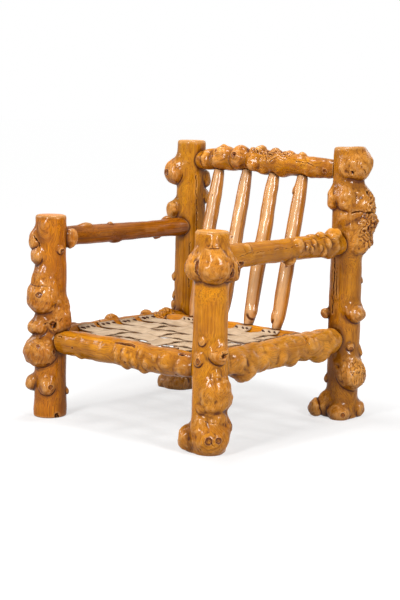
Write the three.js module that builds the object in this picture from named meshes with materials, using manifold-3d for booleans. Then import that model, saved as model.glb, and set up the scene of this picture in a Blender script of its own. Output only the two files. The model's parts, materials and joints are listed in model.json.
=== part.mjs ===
import * as THREE from "three";
import { mergeVertices } from "three/addons/utils/BufferGeometryUtils.js";
import Module from "manifold-3d";

const wasm = await Module();
wasm.setup();

// An armchair of burl logs with a woven seat. Millimetres, +Z up, the front faces -Y.
// Left and right are as seen by someone who stands in front of it: -X is left.

// Frame: four posts, with rails tenoned into them.
const postSpacing = { across: 632, deep: 630 };
const postRadius = 48;
const frontPostHeight = 610;
const rearPostHeight = 825;
const armDrop = { left: 68, right: 75 };
const armRadius = { left: 28, right: 33 };
const crestDrop = 57;
const crestRadius = 36;

// Seat: the height of the weave, and how far below it each rail's axis lies.
const seatHeight = 256;
const seatRailDrop = { front: 24, left: 24, right: 16, rear: 21 };
const seatRailRadius = { front: 38, left: 37, right: 41, rear: 32 };
const rearRailSetback = 128;

// Back spindles, leaning from the rear seat rail up to the crest rail.
const spindleRadius = 22;

// Round tenons in blind mortises, with the same clearance at every joint.
const fit = 0.4;
const railTenonRadius = 16;
const mortiseWall = 5;
const rearTenon = { radius: 14, tip: 10 };
const spindleTenon = { radius: 11, tip: 7 };
const tenonTipShare = 0.82;
const tenonChamferShare = 0.3;

// Leather strips of the seat, and the slits that they leave between them.
const stripThickness = 2.6;
const stripEdgeMargin = 1.5;
const slit = { lengthwise: 47, crosswise: 20 };
const flapTopDegrees = 62;
const flapLeaveDegrees = 48;

// Facets of the round forms, and the spacing of a log's rings as shares of its radius.
const sides = { post: 16, seatRail: 12, arm: 11, crest: 12, rearRail: 11, spindle: 9, tenon: 8 };
const ringSpacingShares = {
  post: 0.42,
  seatRail: 0.69,
  arm: 1,
  crest: 0.53,
  rearRail: 1.9,
  spindle: 3.6,
};
const flapSteps = 2;
const bendSteps = 3;

// A log's body starts this share of its host's radius away from the host's axis.
const bodyInsetShare = 0.5;
// A burl stands out of its log a little less than it is wide, and flows into it at its edge.
const burlDepthShare = 0.88;
const blendShare = 0.16;
const outOfRoundShare = 0.025;

// Where the spindles stand from left to right, and the strips from left to right and from front
// to rear, as shares of the way between the axes of the rails on either side.
const spindlePlaceShares = [0.203, 0.385, 0.56, 0.736];
const lengthwisePlaceShares = [0.215, 0.392, 0.565, 0.734];
const crosswisePlaceShares = [0.258, 0.434, 0.62, 0.797];

// Log outlines: place along the log, then radius and sway as shares of the log's radius.
const postOutlineShares = [
  [0, 1.02],
  [0.03, 1.05],
  [0.08, 1.0],
  [0.22, 0.98],
  [0.38, 1.0],
  [0.55, 0.97],
  [0.7, 0.98],
  [0.84, 0.95],
  [0.94, 0.97],
  [0.978, 0.97],
  [0.993, 0.93],
  [1, 0.84],
];
const frontRailOutlineShares = [
  [0, 0.72],
  [0.05, 0.86],
  [0.13, 0.96],
  [0.3, 0.97, 0.03],
  [0.45, 1.0, 0.03],
  [0.55, 1.04, 0],
  [0.68, 1.0, -0.03],
  [0.8, 1.04, -0.03],
  [0.9, 0.98],
  [0.96, 0.86],
  [1, 0.76],
];
const leftRailOutlineShares = [
  [0, 0.74],
  [0.06, 0.88],
  [0.15, 0.98],
  [0.3, 1.0],
  [0.5, 0.97],
  [0.68, 1.02],
  [0.82, 1.0],
  [0.93, 0.92],
  [1, 0.78],
];
const rightRailOutlineShares = [
  [0, 0.76],
  [0.06, 0.9],
  [0.15, 0.98, -0.06],
  [0.25, 1.04, -0.12],
  [0.36, 0.96, -0.02],
  [0.5, 0.98, 0.02],
  [0.64, 0.97, 0.06],
  [0.78, 1.04, 0.0],
  [0.87, 1.02, 0.04],
  [0.92, 0.94, 0.08],
  [0.95, 0.78, 0.12],
  [0.975, 0.54, 0.14],
  [1, 0.44, 0.14],
];
const rearRailOutlineShares = [
  [0, 0.78],
  [0.07, 0.94],
  [0.25, 1.0],
  [0.5, 1.02],
  [0.75, 0.98],
  [0.93, 0.94],
  [1, 0.8],
];
const leftArmOutlineShares = [
  [0, 0.82],
  [0.06, 1.0],
  [0.2, 1.02],
  [0.4, 0.98],
  [0.6, 0.96],
  [0.78, 1.0],
  [0.9, 1.1],
  [1, 1.0],
];
const rightArmOutlineShares = [
  [0, 0.84],
  [0.08, 1.0],
  [0.22, 0.98, -0.02],
  [0.4, 0.94],
  [0.55, 0.96],
  [0.7, 1.02],
  [0.85, 1.1, 0.04],
  [0.94, 1.06, 0.06],
  [1, 0.9],
];
const crestOutlineShares = [
  [0, 0.72, -0.2],
  [0.06, 0.86, -0.15],
  [0.16, 0.98],
  [0.3, 0.92, 0.04],
  [0.44, 0.9, 0.06],
  [0.56, 1.0, -0.08],
  [0.68, 0.98, -0.14],
  [0.8, 0.88, -0.26],
  [0.92, 0.82, -0.32],
  [1, 0.78, -0.32],
];
const spindleOutlineShares = [
  [0, 0.6],
  [0.05, 0.72],
  [0.1, 0.94],
  [0.2, 1.0],
  [0.45, 1.02],
  [0.7, 0.98],
  [0.88, 0.92],
  [0.95, 0.78],
  [1, 0.62],
];

// Burls: place along the log, turn in degrees, then how far out the middle lies, the half width
// round the log and the half length along it, as shares of the log's radius. A post's turn runs
// from the front towards the right. A rail's turn runs from the top towards the front, or
// towards the right on a rail that runs front to back.
const frontLeftPostBurlShares = [
  [0.875, -50, 0.94, 0.5, 0.52],
  [0.882, 148, 1.22, 0.46, 0.62],
  [0.795, -20, 0.88, 0.56, 0.5],
  [0.668, 0, 0.72, 0.66, 0.8],
  [0.585, -2, 0.74, 1.0, 0.88],
  [0.452, -12, 0.84, 0.74, 0.56],
  [0.46, 98, 0.76, 0.72, 0.62],
  [0.325, -6, 0.8, 1.12, 0.95],
  [0.16, -50, 1.15, 0.5, 0.5],
  [0.153, 38, 0.9, 0.5, 0.5],
  [0.7, 205, 0.84, 0.46, 0.5],
  [0.36, 228, 0.8, 0.66, 0.6],
  [0.13, 196, 0.86, 0.5, 0.5],
];
const frontRightPostBurlShares = [
  [0.833, 50, 0.72, 1.02, 0.92],
  [0.825, -30, 0.8, 0.8, 0.75],
  [0.815, 122, 1.0, 0.72, 0.64],
  [0.83, 205, 0.72, 0.8, 0.7],
  [0.42, -10, 0.9, 0.34, 0.34],
  [0.443, 85, 0.88, 0.54, 0.56],
  [0.282, 54, 0.82, 0.56, 0.5],
  [0.28, 128, 0.9, 0.4, 0.42],
  [0.216, 62, 0.82, 0.54, 0.5],
  [0.07, 50, 0.7, 1.02, 0.98],
  [0.123, 126, 0.9, 0.42, 0.46],
  [0.056, -50, 1.2, 0.58, 0.62],
  [0.06, 215, 0.8, 0.6, 0.6],
  [0.6, 225, 0.84, 0.46, 0.52],
];
const rearRightPostBurlShares = [
  [0.932, 84, 0.76, 0.96, 0.9],
  [0.797, -40, 0.9, 0.56, 0.46],
  [0.802, 28, 0.78, 0.6, 0.5],
  [0.792, 112, 0.84, 0.95, 0.96],
  [0.728, 124, 0.92, 1.06, 0.96],
  [0.668, 114, 0.78, 0.98, 0.95],
  [0.394, 84, 0.86, 0.72, 0.62],
  [0.385, -49, 1.2, 0.34, 0.34],
  [0.246, 131, 0.94, 0.34, 0.38],
  [0.168, 78, 0.78, 0.98, 1.02],
  [0.045, -49, 1.02, 0.66, 0.8],
  [0.034, -49, 1.62, 0.62, 0.62],
  [0.02, 26, 0.88, 0.7, 0.56],
  [0.03, 128, 1.05, 0.5, 0.52],
  [0.3, 210, 0.82, 0.5, 0.5],
];
const rearLeftPostBurlShares = [
  [0.872, -50, 1.02, 0.92, 0.88],
  [0.722, -49, 1.12, 0.6, 0.66],
  [0.845, 131, 0.98, 0.44, 0.56],
  [0.775, 128, 0.92, 0.42, 0.5],
  [0.335, -49, 1.0, 0.34, 0.36],
  [0.04, -49, 1.05, 0.62, 0.66],
  [0.02, -49, 1.62, 0.6, 0.56],
  [0.02, 8, 1.1, 0.6, 0.5],
  [0.02, 120, 0.9, 0.5, 0.5],
  [0.56, 205, 0.84, 0.5, 0.5],
  [0.24, 215, 0.82, 0.6, 0.58],
];
const frontRailBurlShares = [
  [0.505, 96, 0.78, 0.52, 0.34],
  [0.565, 82, 0.82, 0.5, 0.3],
  [0.62, 98, 0.82, 0.48, 0.3],
  [0.52, 165, 0.82, 0.44, 0.42],
  [0.82, 84, 0.72, 0.5, 0.7],
  [0.2, 150, 0.8, 0.34, 0.4],
  [0.38, 220, 0.8, 0.4, 0.5],
];
const leftRailBurlShares = [
  [0.15, -30, 0.84, 0.36, 0.5],
  [0.385, -30, 0.86, 0.5, 0.46],
  [0.68, -26, 0.92, 0.42, 0.36],
  [0.86, -20, 0.78, 0.5, 0.8],
  [0.3, 200, 0.78, 0.5, 0.6],
  [0.55, 180, 0.72, 0.5, 0.7],
];
const rightRailBurlShares = [
  [0.2, 160, 0.62, 0.72, 0.8],
  [0.3, 120, 0.6, 0.6, 0.7],
  [0.44, 112, 0.66, 0.56, 0.6],
  [0.56, 156, 0.62, 0.58, 0.6],
  [0.68, 70, 0.62, 0.56, 0.8],
  [0.8, 158, 0.62, 0.74, 0.76],
  [0.86, 60, 0.56, 0.66, 0.62],
];
const rearRailBurlShares = [
  [0.3, 220, 0.78, 0.42, 0.5],
  [0.72, 190, 0.78, 0.44, 0.6],
];
const leftArmBurlShares = [
  [0.2, 8, 0.82, 0.52, 1.0],
  [0.39, 0, 0.9, 0.34, 0.34],
  [0.86, -25, 0.95, 0.56, 0.6],
  [0.42, 172, 0.8, 0.44, 0.9],
  [0.76, 180, 0.88, 0.38, 0.5],
];
const rightArmBurlShares = [
  [0.16, 50, 0.84, 0.4, 0.4],
  [0.12, 176, 0.84, 0.44, 0.6],
  [0.55, 172, 0.92, 0.42, 0.42],
  [0.58, 60, 0.8, 0.5, 0.6],
  [0.7, 66, 0.9, 0.4, 0.4],
  [0.74, 106, 0.9, 0.42, 0.42],
  [0.8, 8, 0.84, 0.62, 0.6],
  [0.88, 26, 0.84, 0.84, 0.84],
  [0.86, 150, 0.7, 0.7, 0.8],
];
const crestBurlShares = [
  [0.1, 84, 0.56, 0.62, 0.5],
  [0.185, 34, 0.52, 0.86, 0.82],
  [0.325, 30, 0.6, 0.78, 0.74],
  [0.41, 4, 0.84, 0.42, 0.4],
  [0.46, -12, 0.88, 0.4, 0.36],
  [0.51, 14, 0.9, 0.42, 0.36],
  [0.565, -2, 0.88, 0.44, 0.4],
  [0.615, -14, 0.92, 0.4, 0.36],
  [0.66, 8, 0.78, 0.4, 0.36],
  [0.725, 0, 0.84, 0.3, 0.3],
  [0.53, 160, 0.62, 0.6, 0.9],
  [0.66, 168, 0.5, 0.6, 0.8],
  [0.93, 84, 0.36, 0.5, 0.5],
  [0.28, 262, 0.7, 0.5, 0.6],
  [0.62, 270, 0.72, 0.56, 0.6],
];
const spindleBurlShares = [
  [[0.62, 200, 0.8, 0.3, 0.4]],
  [[0.3, 120, 0.82, 0.3, 0.4]],
  [[0.1, 60, 0.42, 0.74, 1.0], [0.52, -40, 0.8, 0.34, 0.5]],
  [[0.09, -70, 0.42, 0.74, 1.0], [0.86, -70, 0.7, 0.5, 0.7]],
];

const up = new THREE.Vector3(0, 0, 1);
const front = new THREE.Vector3(0, -1, 0);

// A closed geometry as a solid that can be joined and cut.
function toSolid(geometry) {
  const bare = new THREE.BufferGeometry();
  bare.setAttribute("position", geometry.getAttribute("position"));
  bare.setIndex(geometry.getIndex());
  const merged = mergeVertices(bare);
  return new wasm.Manifold(
    new wasm.Mesh({
      numProp: 3,
      vertProperties: merged.getAttribute("position").array,
      triVerts: new Uint32Array(merged.getIndex().array),
    }),
  );
}

// A solid through rings of points, closed at both ends.
function loft(rings) {
  const count = rings[0].length;
  const points = rings.flat();
  const startCap = points.length;
  const endCap = startCap + 1;
  const middle = (ring) =>
    ring.reduce((sum, p) => sum.add(p), new THREE.Vector3()).divideScalar(ring.length);
  points.push(middle(rings[0]), middle(rings[rings.length - 1]));
  const index = [];
  for (let k = 0; k < count; k++) {
    const next = (k + 1) % count;
    index.push(startCap, next, k);
    for (let i = 0; i + 1 < rings.length; i++) {
      const [low, high] = [i * count, (i + 1) * count];
      index.push(low + k, low + next, high + next, low + k, high + next, high + k);
    }
    const last = (rings.length - 1) * count;
    index.push(endCap, last + k, last + next);
  }
  const geometry = new THREE.BufferGeometry().setFromPoints(points);
  return toSolid(geometry.setIndex(index));
}

// A log between the axes of the pieces that hold it, with the directions that its turns use.
function makeLog(spec) {
  const along = spec.end.clone().sub(spec.start);
  const length = along.length();
  along.normalize();
  const zero = spec.zero.clone().addScaledVector(along, -spec.zero.dot(along)).normalize();
  const quarter = along.clone().cross(zero);
  return { inset: [0, 0], ...spec, length, along, zero, quarter };
}

function radial(log, turn) {
  return log.zero
    .clone()
    .multiplyScalar(Math.cos(turn))
    .addScaledVector(log.quarter, Math.sin(turn));
}

function pointOn(log, distance, turn, out) {
  return log.start
    .clone()
    .addScaledVector(log.along, distance)
    .addScaledVector(radial(log, turn), out);
}

// The distance along a log's axis of a place given as a share of its body.
function distanceAt(log, share) {
  const [low, high] = log.inset;
  return low + share * (log.length - low - high);
}

function ring(log, distance, radiusAt, count, sway = 0) {
  return Array.from({ length: count }, (_, k) => {
    const turn = (k / count) * Math.PI * 2;
    return pointOn(log, distance, turn, radiusAt(turn)).addScaledVector(log.zero, sway);
  });
}

// The outline's radius and sway shares at a place between two of its rows.
function outlineAt(log, place) {
  const rows = log.outline;
  const after = rows.findIndex((row) => row[0] >= place);
  const [low, high] = [rows[Math.max(after - 1, 0)], rows[Math.max(after, 0)]];
  const blend = high[0] > low[0] ? (place - low[0]) / (high[0] - low[0]) : 0;
  return {
    radiusShare: THREE.MathUtils.lerp(low[1], high[1], blend),
    swayShare: THREE.MathUtils.lerp(low[2] ?? 0, high[2] ?? 0, blend),
  };
}

// How far a log's own trunk reaches from its axis, slightly out of round.
function trunkReach(log, place, turn) {
  const wave = 1 + outOfRoundShare * Math.cos(2 * turn + Math.PI * place);
  return log.radius * outlineAt(log, place).radiusShare * wave;
}

// How far a burl, a growth of rounded form, reaches from the log's axis: the far side of an
// ellipsoid along the ray that leaves the axis there, or nothing where the ray misses it.
function burlReach(log, burl, place, turn) {
  const [burlPlace, turnDegrees, outShare, wideShare, longShare] = burl;
  const aside = turn - THREE.MathUtils.degToRad(turnDegrees);
  const wide = wideShare * log.radius;
  const deep = wide * burlDepthShare;
  const out = outShare * log.radius;
  const climb = (distanceAt(log, place) - distanceAt(log, burlPlace)) / (longShare * log.radius);
  const a = (Math.cos(aside) / deep) ** 2 + (Math.sin(aside) / wide) ** 2;
  const b = (-2 * out * Math.cos(aside)) / deep ** 2;
  const c = (out / deep) ** 2 + climb ** 2 - 1;
  const rest = b * b - 4 * a * c;
  return rest < 0 ? 0 : Math.max((Math.sqrt(rest) - b) / (2 * a), 0);
}

// The larger of two reaches, rounded over where they are nearly alike.
function blended(reach, other, width) {
  const near = Math.max(width - Math.abs(reach - other), 0) / width;
  return Math.max(reach, other) + (near * near * width) / 4;
}

// Where a log's rings lie, as shares of its body: the rows of its outline, and evenly between.
function ringPlaces(log) {
  const body = log.length - log.inset[0] - log.inset[1];
  const rows = log.outline.map((row) => row[0]);
  const steps = Math.round(body / (log.ringSpacingShare * log.radius));
  const even = Array.from({ length: steps }, (_, i) => (i + 1 / 2) / steps);
  const apart = 1 / (2 * steps);
  const free = even.filter((place) => rows.every((row) => Math.abs(row - place) > apart));
  return rows.concat(free).sort((p, q) => p - q);
}

// A log with its burls, grown all over by a clearance where asked.
function logSolid(log, grow = 0) {
  const rings = ringPlaces(log).map((place) => {
    const radiusAt = (turn) =>
      log.burls.reduce(
        (reach, burl) => {
          const other = burlReach(log, burl, place, turn);
          return other > 0 ? blended(reach, other, blendShare * log.radius) : reach;
        },
        trunkReach(log, place, turn),
      ) + grow;
    const { swayShare } = outlineAt(log, place);
    return ring(log, distanceAt(log, place), radiusAt, log.sides, swayShare * log.radius);
  });
  return loft(rings);
}

// The round rod of a tenon, or of its mortise where it is grown, from its tip to its root.
function tenonRod(log, atEnd, tenon, hostRadius, grow = 0) {
  const tip = tenon.tip - grow;
  const chamfered = tip + tenon.radius * tenonChamferShare;
  const root = hostRadius + tenon.radius;
  const distances = atEnd
    ? [log.length - root, log.length - chamfered, log.length - tip]
    : [tip, chamfered, root];
  const tipRadius = tenon.radius * tenonTipShare + grow;
  const radius = tenon.radius + grow;
  const radii = atEnd ? [radius, radius, tipRadius] : [tipRadius, radius, radius];
  return loft(distances.map((d, i) => ring(log, d, () => radii[i], sides.tenon)));
}

// What a cut leaves in one piece: the largest body.
function largestBody(solid) {
  const bodies = solid.decompose();
  return bodies.reduce((best, body) => (body.volume() > best.volume() ? body : best));
}

// A log scribed to the pieces that hold it, with a tenon at each end.
function joinedLog(log) {
  const scribed = [...log.hosts, ...(log.clearOf ?? [])].reduce(
    (solid, other) => solid.subtract(logSolid(other, fit)),
    logSolid(log),
  );
  const rods = [0, 1].map((end) => tenonRod(log, end === 1, log.tenon, log.hosts[end].radius));
  return rods.reduce((solid, rod) => solid.add(rod), largestBody(scribed));
}

// The mortises that a piece needs for the tenons of the logs that it holds.
function cutMortises(solid, host, guests) {
  for (const guest of guests) {
    guest.hosts.forEach((holder, end) => {
      if (holder !== host) return;
      solid = solid.subtract(tenonRod(guest, end === 1, guest.tenon, host.radius, fit));
    });
  }
  return solid;
}

// Posts stand on the floor, sawn level top and bottom.
const halfAcross = postSpacing.across / 2;
const halfDeep = postSpacing.deep / 2;

function makePost(x, y, height, burls) {
  return makeLog({
    start: new THREE.Vector3(x, y, 0),
    end: new THREE.Vector3(x, y, height),
    zero: front,
    radius: postRadius,
    outline: postOutlineShares,
    burls,
    sides: sides.post,
    ringSpacingShare: ringSpacingShares.post,
  });
}

const posts = {
  front_left: makePost(-halfAcross, -halfDeep, frontPostHeight, frontLeftPostBurlShares),
  front_right: makePost(halfAcross, -halfDeep, frontPostHeight, frontRightPostBurlShares),
  rear_left: makePost(-halfAcross, halfDeep, rearPostHeight, rearLeftPostBurlShares),
  rear_right: makePost(halfAcross, halfDeep, rearPostHeight, rearRightPostBurlShares),
};

// A rail between two hosts, level at the given height.
function makeRail(hosts, startXY, endXY, height, spec) {
  return makeLog({
    start: new THREE.Vector3(...startXY, height),
    end: new THREE.Vector3(...endXY, height),
    zero: up,
    hosts,
    inset: hosts.map((host) => host.radius * bodyInsetShare),
    sides: sides.seatRail,
    ringSpacingShare: ringSpacingShares.seatRail,
    ...spec,
  });
}

const postTenon = { radius: railTenonRadius, tip: railTenonRadius + fit + mortiseWall };
const corner = {
  front_left: [-halfAcross, -halfDeep],
  front_right: [halfAcross, -halfDeep],
  rear_left: [-halfAcross, halfDeep],
  rear_right: [halfAcross, halfDeep],
};

function makePostRail(from, to, height, spec) {
  const hosts = [posts[from], posts[to]];
  return makeRail(hosts, corner[from], corner[to], height, { tenon: postTenon, ...spec });
}

const frontRail = makePostRail("front_left", "front_right", seatHeight - seatRailDrop.front, {
  radius: seatRailRadius.front,
  outline: frontRailOutlineShares,
  burls: frontRailBurlShares,
});
const leftRail = makePostRail("front_left", "rear_left", seatHeight - seatRailDrop.left, {
  radius: seatRailRadius.left,
  outline: leftRailOutlineShares,
  burls: leftRailBurlShares,
  clearOf: [frontRail],
});
const rightRail = makePostRail("front_right", "rear_right", seatHeight - seatRailDrop.right, {
  radius: seatRailRadius.right,
  outline: rightRailOutlineShares,
  burls: rightRailBurlShares,
  clearOf: [frontRail],
});
const leftArm = makePostRail("front_left", "rear_left", frontPostHeight - armDrop.left, {
  radius: armRadius.left,
  outline: leftArmOutlineShares,
  burls: leftArmBurlShares,
  sides: sides.arm,
  ringSpacingShare: ringSpacingShares.arm,
});
const rightArm = makePostRail("front_right", "rear_right", frontPostHeight - armDrop.right, {
  radius: armRadius.right,
  outline: rightArmOutlineShares,
  burls: rightArmBurlShares,
  sides: sides.arm,
  ringSpacingShare: ringSpacingShares.arm,
});
const crestRail = makePostRail("rear_left", "rear_right", rearPostHeight - crestDrop, {
  radius: crestRadius,
  outline: crestOutlineShares,
  burls: crestBurlShares,
  sides: sides.crest,
  ringSpacingShare: ringSpacingShares.crest,
});

// The rear seat rail stands ahead of the rear posts, between the side rails.
const rearRailY = halfDeep - rearRailSetback;
const rearRailHeight = seatHeight - seatRailDrop.rear;
const rearRail = makeRail(
  [leftRail, rightRail],
  [-halfAcross, rearRailY],
  [halfAcross, rearRailY],
  rearRailHeight,
  {
    radius: seatRailRadius.rear,
    outline: rearRailOutlineShares,
    burls: rearRailBurlShares,
    sides: sides.rearRail,
    ringSpacingShare: ringSpacingShares.rearRail,
    tenon: rearTenon,
  },
);

// Spindles lean back from the rear seat rail's axis to the crest rail's axis.
const spindles = spindlePlaceShares.map((share, i) => {
  const x = share * postSpacing.across - halfAcross;
  return makeLog({
    start: new THREE.Vector3(x, rearRailY, rearRailHeight),
    end: new THREE.Vector3(x, halfDeep, rearPostHeight - crestDrop),
    zero: front,
    hosts: [rearRail, crestRail],
    inset: [rearRail, crestRail].map((host) => host.radius * bodyInsetShare),
    radius: spindleRadius,
    outline: spindleOutlineShares,
    burls: spindleBurlShares[i],
    tenon: spindleTenon,
    sides: sides.spindle,
    ringSpacingShare: ringSpacingShares.spindle,
  });
});

// What each post is mortised for.
const postGuests = [frontRail, leftRail, rightRail, leftArm, rightArm, crestRail];

// Strips stand at even steps or nearly so, and each is as wide as a step less a slit.
const weaveDepth = rearRailY + halfDeep;

function stripWidth(placeShares, span, slitWidth) {
  const steps = placeShares.length - 1;
  return ((placeShares[steps] - placeShares[0]) * span) / steps - slitWidth;
}

const lengthwiseWidth = stripWidth(lengthwisePlaceShares, postSpacing.across, slit.lengthwise);
const crosswiseWidth = stripWidth(crosswisePlaceShares, weaveDepth, slit.crosswise);

// The rail's axis and widest radius where a strip passes over it, at a distance from its start.
function railUnderStrip(rail, distance, width) {
  const reach = [distance - width / 2, distance, distance + width / 2];
  const rows = reach.map((place) => outlineAt(rail, place / rail.length));
  const widest = Math.max(...rows.map((row) => row.radiusShare));
  const sway = Math.max(...rows.map((row) => row.swayShare));
  return {
    height: rail.start.z + sway * rail.radius,
    radius: widest * (1 + outOfRoundShare) * rail.radius,
  };
}

// A strip's end: over the rail's inner top, then down in a bend to the height of the weave.
// Places run inwards from the rail's axis, and heights are above the weave.
function flap(rail) {
  const radius = rail.radius + fit + stripThickness / 2;
  const axisHeight = rail.height - seatHeight;
  const points = [];
  for (let i = 0; i <= flapSteps; i++) {
    const degrees = THREE.MathUtils.lerp(flapTopDegrees, flapLeaveDegrees, i / flapSteps);
    const angle = THREE.MathUtils.degToRad(degrees);
    points.push(
      new THREE.Vector2(radius * Math.cos(angle), axisHeight + radius * Math.sin(angle)),
    );
  }
  const leave = points[points.length - 1];
  const slope = THREE.MathUtils.degToRad(90 - flapLeaveDegrees);
  const run = leave.y / Math.tan(slope);
  const turn = new THREE.Vector2(leave.x + run, 0);
  const level = new THREE.Vector2(leave.x + run * 2, 0);
  const bend = new THREE.QuadraticBezierCurve(leave, turn, level).getPoints(bendSteps);
  return points.concat(bend.slice(1));
}

// A strip's middle line from one rail to the other: a flap, over and under the strips that
// cross it, and a flap. Each crossing is [place, half width, over].
function stripLine(startRail, endRail, span, crossings) {
  const lift = (stripThickness + fit) / 2;
  const line = flap(startRail);
  for (const [place, halfWidth, over] of crossings) {
    const height = over ? lift : -lift;
    const reach = halfWidth + stripEdgeMargin;
    line.push(new THREE.Vector2(place - reach, height), new THREE.Vector2(place + reach, height));
  }
  const end = flap(endRail).map((p) => new THREE.Vector2(span - p.x, p.y));
  return line.concat(end.reverse());
}

// The side view of a strip, its middle line thickened both ways, drawn out to its width.
function stripSolid(line, width) {
  const normals = line.map((_, i) => {
    const before = line[Math.max(i - 1, 0)];
    const after = line[Math.min(i + 1, line.length - 1)];
    const direction = after.clone().sub(before).normalize();
    return new THREE.Vector2(-direction.y, direction.x);
  });
  const half = stripThickness / 2;
  const offset = (side) => line.map((p, i) => p.clone().addScaledVector(normals[i], side * half));
  const outline = offset(-1).concat(offset(1).reverse());
  const shape = new THREE.Shape(outline);
  const band = new THREE.ExtrudeGeometry(shape, { depth: width, bevelEnabled: false });
  return band.translate(0, 0, -width / 2);
}

// A strip gives way to the bumps of the rails that it lies on.
function clearOfRails(band, rails) {
  return rails.reduce((solid, rail) => solid.subtract(logSolid(rail, fit)), toSolid(band));
}

// Lengthwise strips run from the front rail to the rear rail.
function lengthwiseStrip(column) {
  const place = lengthwisePlaceShares[column] * postSpacing.across;
  const crossings = crosswisePlaceShares.map((other, row) => [
    other * weaveDepth,
    crosswiseWidth / 2,
    (row + column) % 2 === 0,
  ]);
  const line = stripLine(
    railUnderStrip(frontRail, place, lengthwiseWidth),
    railUnderStrip(rearRail, place, lengthwiseWidth),
    weaveDepth,
    crossings,
  );
  const band = stripSolid(line, lengthwiseWidth);
  band.applyMatrix4(
    new THREE.Matrix4()
      .makeBasis(new THREE.Vector3(0, 1, 0), up, new THREE.Vector3(1, 0, 0))
      .setPosition(place - halfAcross, -halfDeep, seatHeight),
  );
  return clearOfRails(band, [frontRail, rearRail]);
}

// Crosswise strips run from the left rail to the right rail.
function crosswiseStrip(row) {
  const place = crosswisePlaceShares[row] * weaveDepth;
  const crossings = lengthwisePlaceShares.map((other, column) => [
    other * postSpacing.across,
    lengthwiseWidth / 2,
    (row + column) % 2 === 1,
  ]);
  const line = stripLine(
    railUnderStrip(leftRail, place, crosswiseWidth),
    railUnderStrip(rightRail, place, crosswiseWidth),
    postSpacing.across,
    crossings,
  );
  const band = stripSolid(line, crosswiseWidth);
  band.applyMatrix4(
    new THREE.Matrix4()
      .makeBasis(new THREE.Vector3(1, 0, 0), up, new THREE.Vector3(0, -1, 0))
      .setPosition(-halfAcross, place - halfDeep, seatHeight),
  );
  return clearOfRails(band, [leftRail, rightRail]);
}

// Varnished pine, a little different from log to log, and pale leather strips.
const pine = { roughness: 0.3, metalness: 0 };
const leather = { roughness: 0.75, metalness: 0 };
const colours = {
  post: 0xd0843a,
  rail: 0xc87a22,
  arm: 0xb8731f,
  crest: 0xbd7a2a,
  spindle: 0xcf9040,
  strip: 0xcaa57c,
};

const chair = new THREE.Group();

function addPiece(name, solid, color, finish) {
  const made = largestBody(solid).getMesh();
  const geometry = new THREE.BufferGeometry();
  geometry.setAttribute("position", new THREE.BufferAttribute(made.vertProperties, 3));
  geometry.setIndex(new THREE.BufferAttribute(made.triVerts, 1));
  geometry.computeVertexNormals();
  const mesh = new THREE.Mesh(geometry, new THREE.MeshStandardMaterial({ color, ...finish }));
  mesh.name = name;
  chair.add(mesh);
}

for (const [name, post] of Object.entries(posts)) {
  addPiece("post_" + name, cutMortises(logSolid(post), post, postGuests), colours.post, pine);
}
const seatRails = { front: frontRail, left: leftRail, right: rightRail, rear: rearRail };
for (const [name, rail] of Object.entries(seatRails)) {
  const solid = cutMortises(joinedLog(rail), rail, [rearRail, ...spindles]);
  addPiece("seat_rail_" + name, solid, colours.rail, pine);
}
addPiece("arm_rail_left", joinedLog(leftArm), colours.arm, pine);
addPiece("arm_rail_right", joinedLog(rightArm), colours.arm, pine);
const crestSolid = cutMortises(joinedLog(crestRail), crestRail, spindles);
addPiece("crest_rail", crestSolid, colours.crest, pine);
spindles.forEach((spindle, i) => {
  addPiece("back_spindle_" + (i + 1), joinedLog(spindle), colours.spindle, pine);
});
lengthwisePlaceShares.forEach((_, i) => {
  addPiece("seat_strip_lengthwise_" + (i + 1), lengthwiseStrip(i), colours.strip, leather);
});
crosswisePlaceShares.forEach((_, i) => {
  addPiece("seat_strip_crosswise_" + (i + 1), crosswiseStrip(i), colours.strip, leather);
});

// The origin is the middle of the whole chair's footprint, on the floor.
const bounds = new THREE.Box3().setFromObject(chair);
const middle = bounds.getCenter(new THREE.Vector3());
chair.position.set(-middle.x, -middle.y, -bounds.min.z);

export default chair;
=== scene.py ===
import json
import math

import bpy
import numpy as np
import openvdb as vdb
from mathutils import Matrix, Vector
from mathutils.bvhtree import BVHTree


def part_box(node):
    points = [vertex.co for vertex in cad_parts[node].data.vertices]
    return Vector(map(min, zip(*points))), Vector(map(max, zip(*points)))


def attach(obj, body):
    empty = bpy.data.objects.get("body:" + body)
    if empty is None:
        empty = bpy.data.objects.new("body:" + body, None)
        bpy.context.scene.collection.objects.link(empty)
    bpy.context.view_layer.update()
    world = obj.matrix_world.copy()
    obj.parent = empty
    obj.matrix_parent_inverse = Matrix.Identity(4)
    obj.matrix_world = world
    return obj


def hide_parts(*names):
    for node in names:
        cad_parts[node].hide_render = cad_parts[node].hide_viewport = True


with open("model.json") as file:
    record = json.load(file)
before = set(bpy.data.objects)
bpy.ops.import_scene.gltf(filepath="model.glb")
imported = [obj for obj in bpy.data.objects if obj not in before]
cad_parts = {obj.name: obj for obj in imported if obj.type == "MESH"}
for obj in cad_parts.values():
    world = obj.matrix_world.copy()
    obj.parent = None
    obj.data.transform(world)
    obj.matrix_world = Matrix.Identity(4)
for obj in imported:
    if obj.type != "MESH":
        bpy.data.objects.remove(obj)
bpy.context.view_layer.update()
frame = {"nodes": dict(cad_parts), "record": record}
print("frame loaded:", len(frame["nodes"]), "nodes")

# Sizes are metres, in the chair's own frame: the front faces -Y, and left is -X
feet = {m["name"][len("foot_"):]: Vector(m["pos_m"]) for m in frame["record"]["mounts"]}
upward, forward = Vector((0, 0, 1)), Vector((0, -1, 0))

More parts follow.
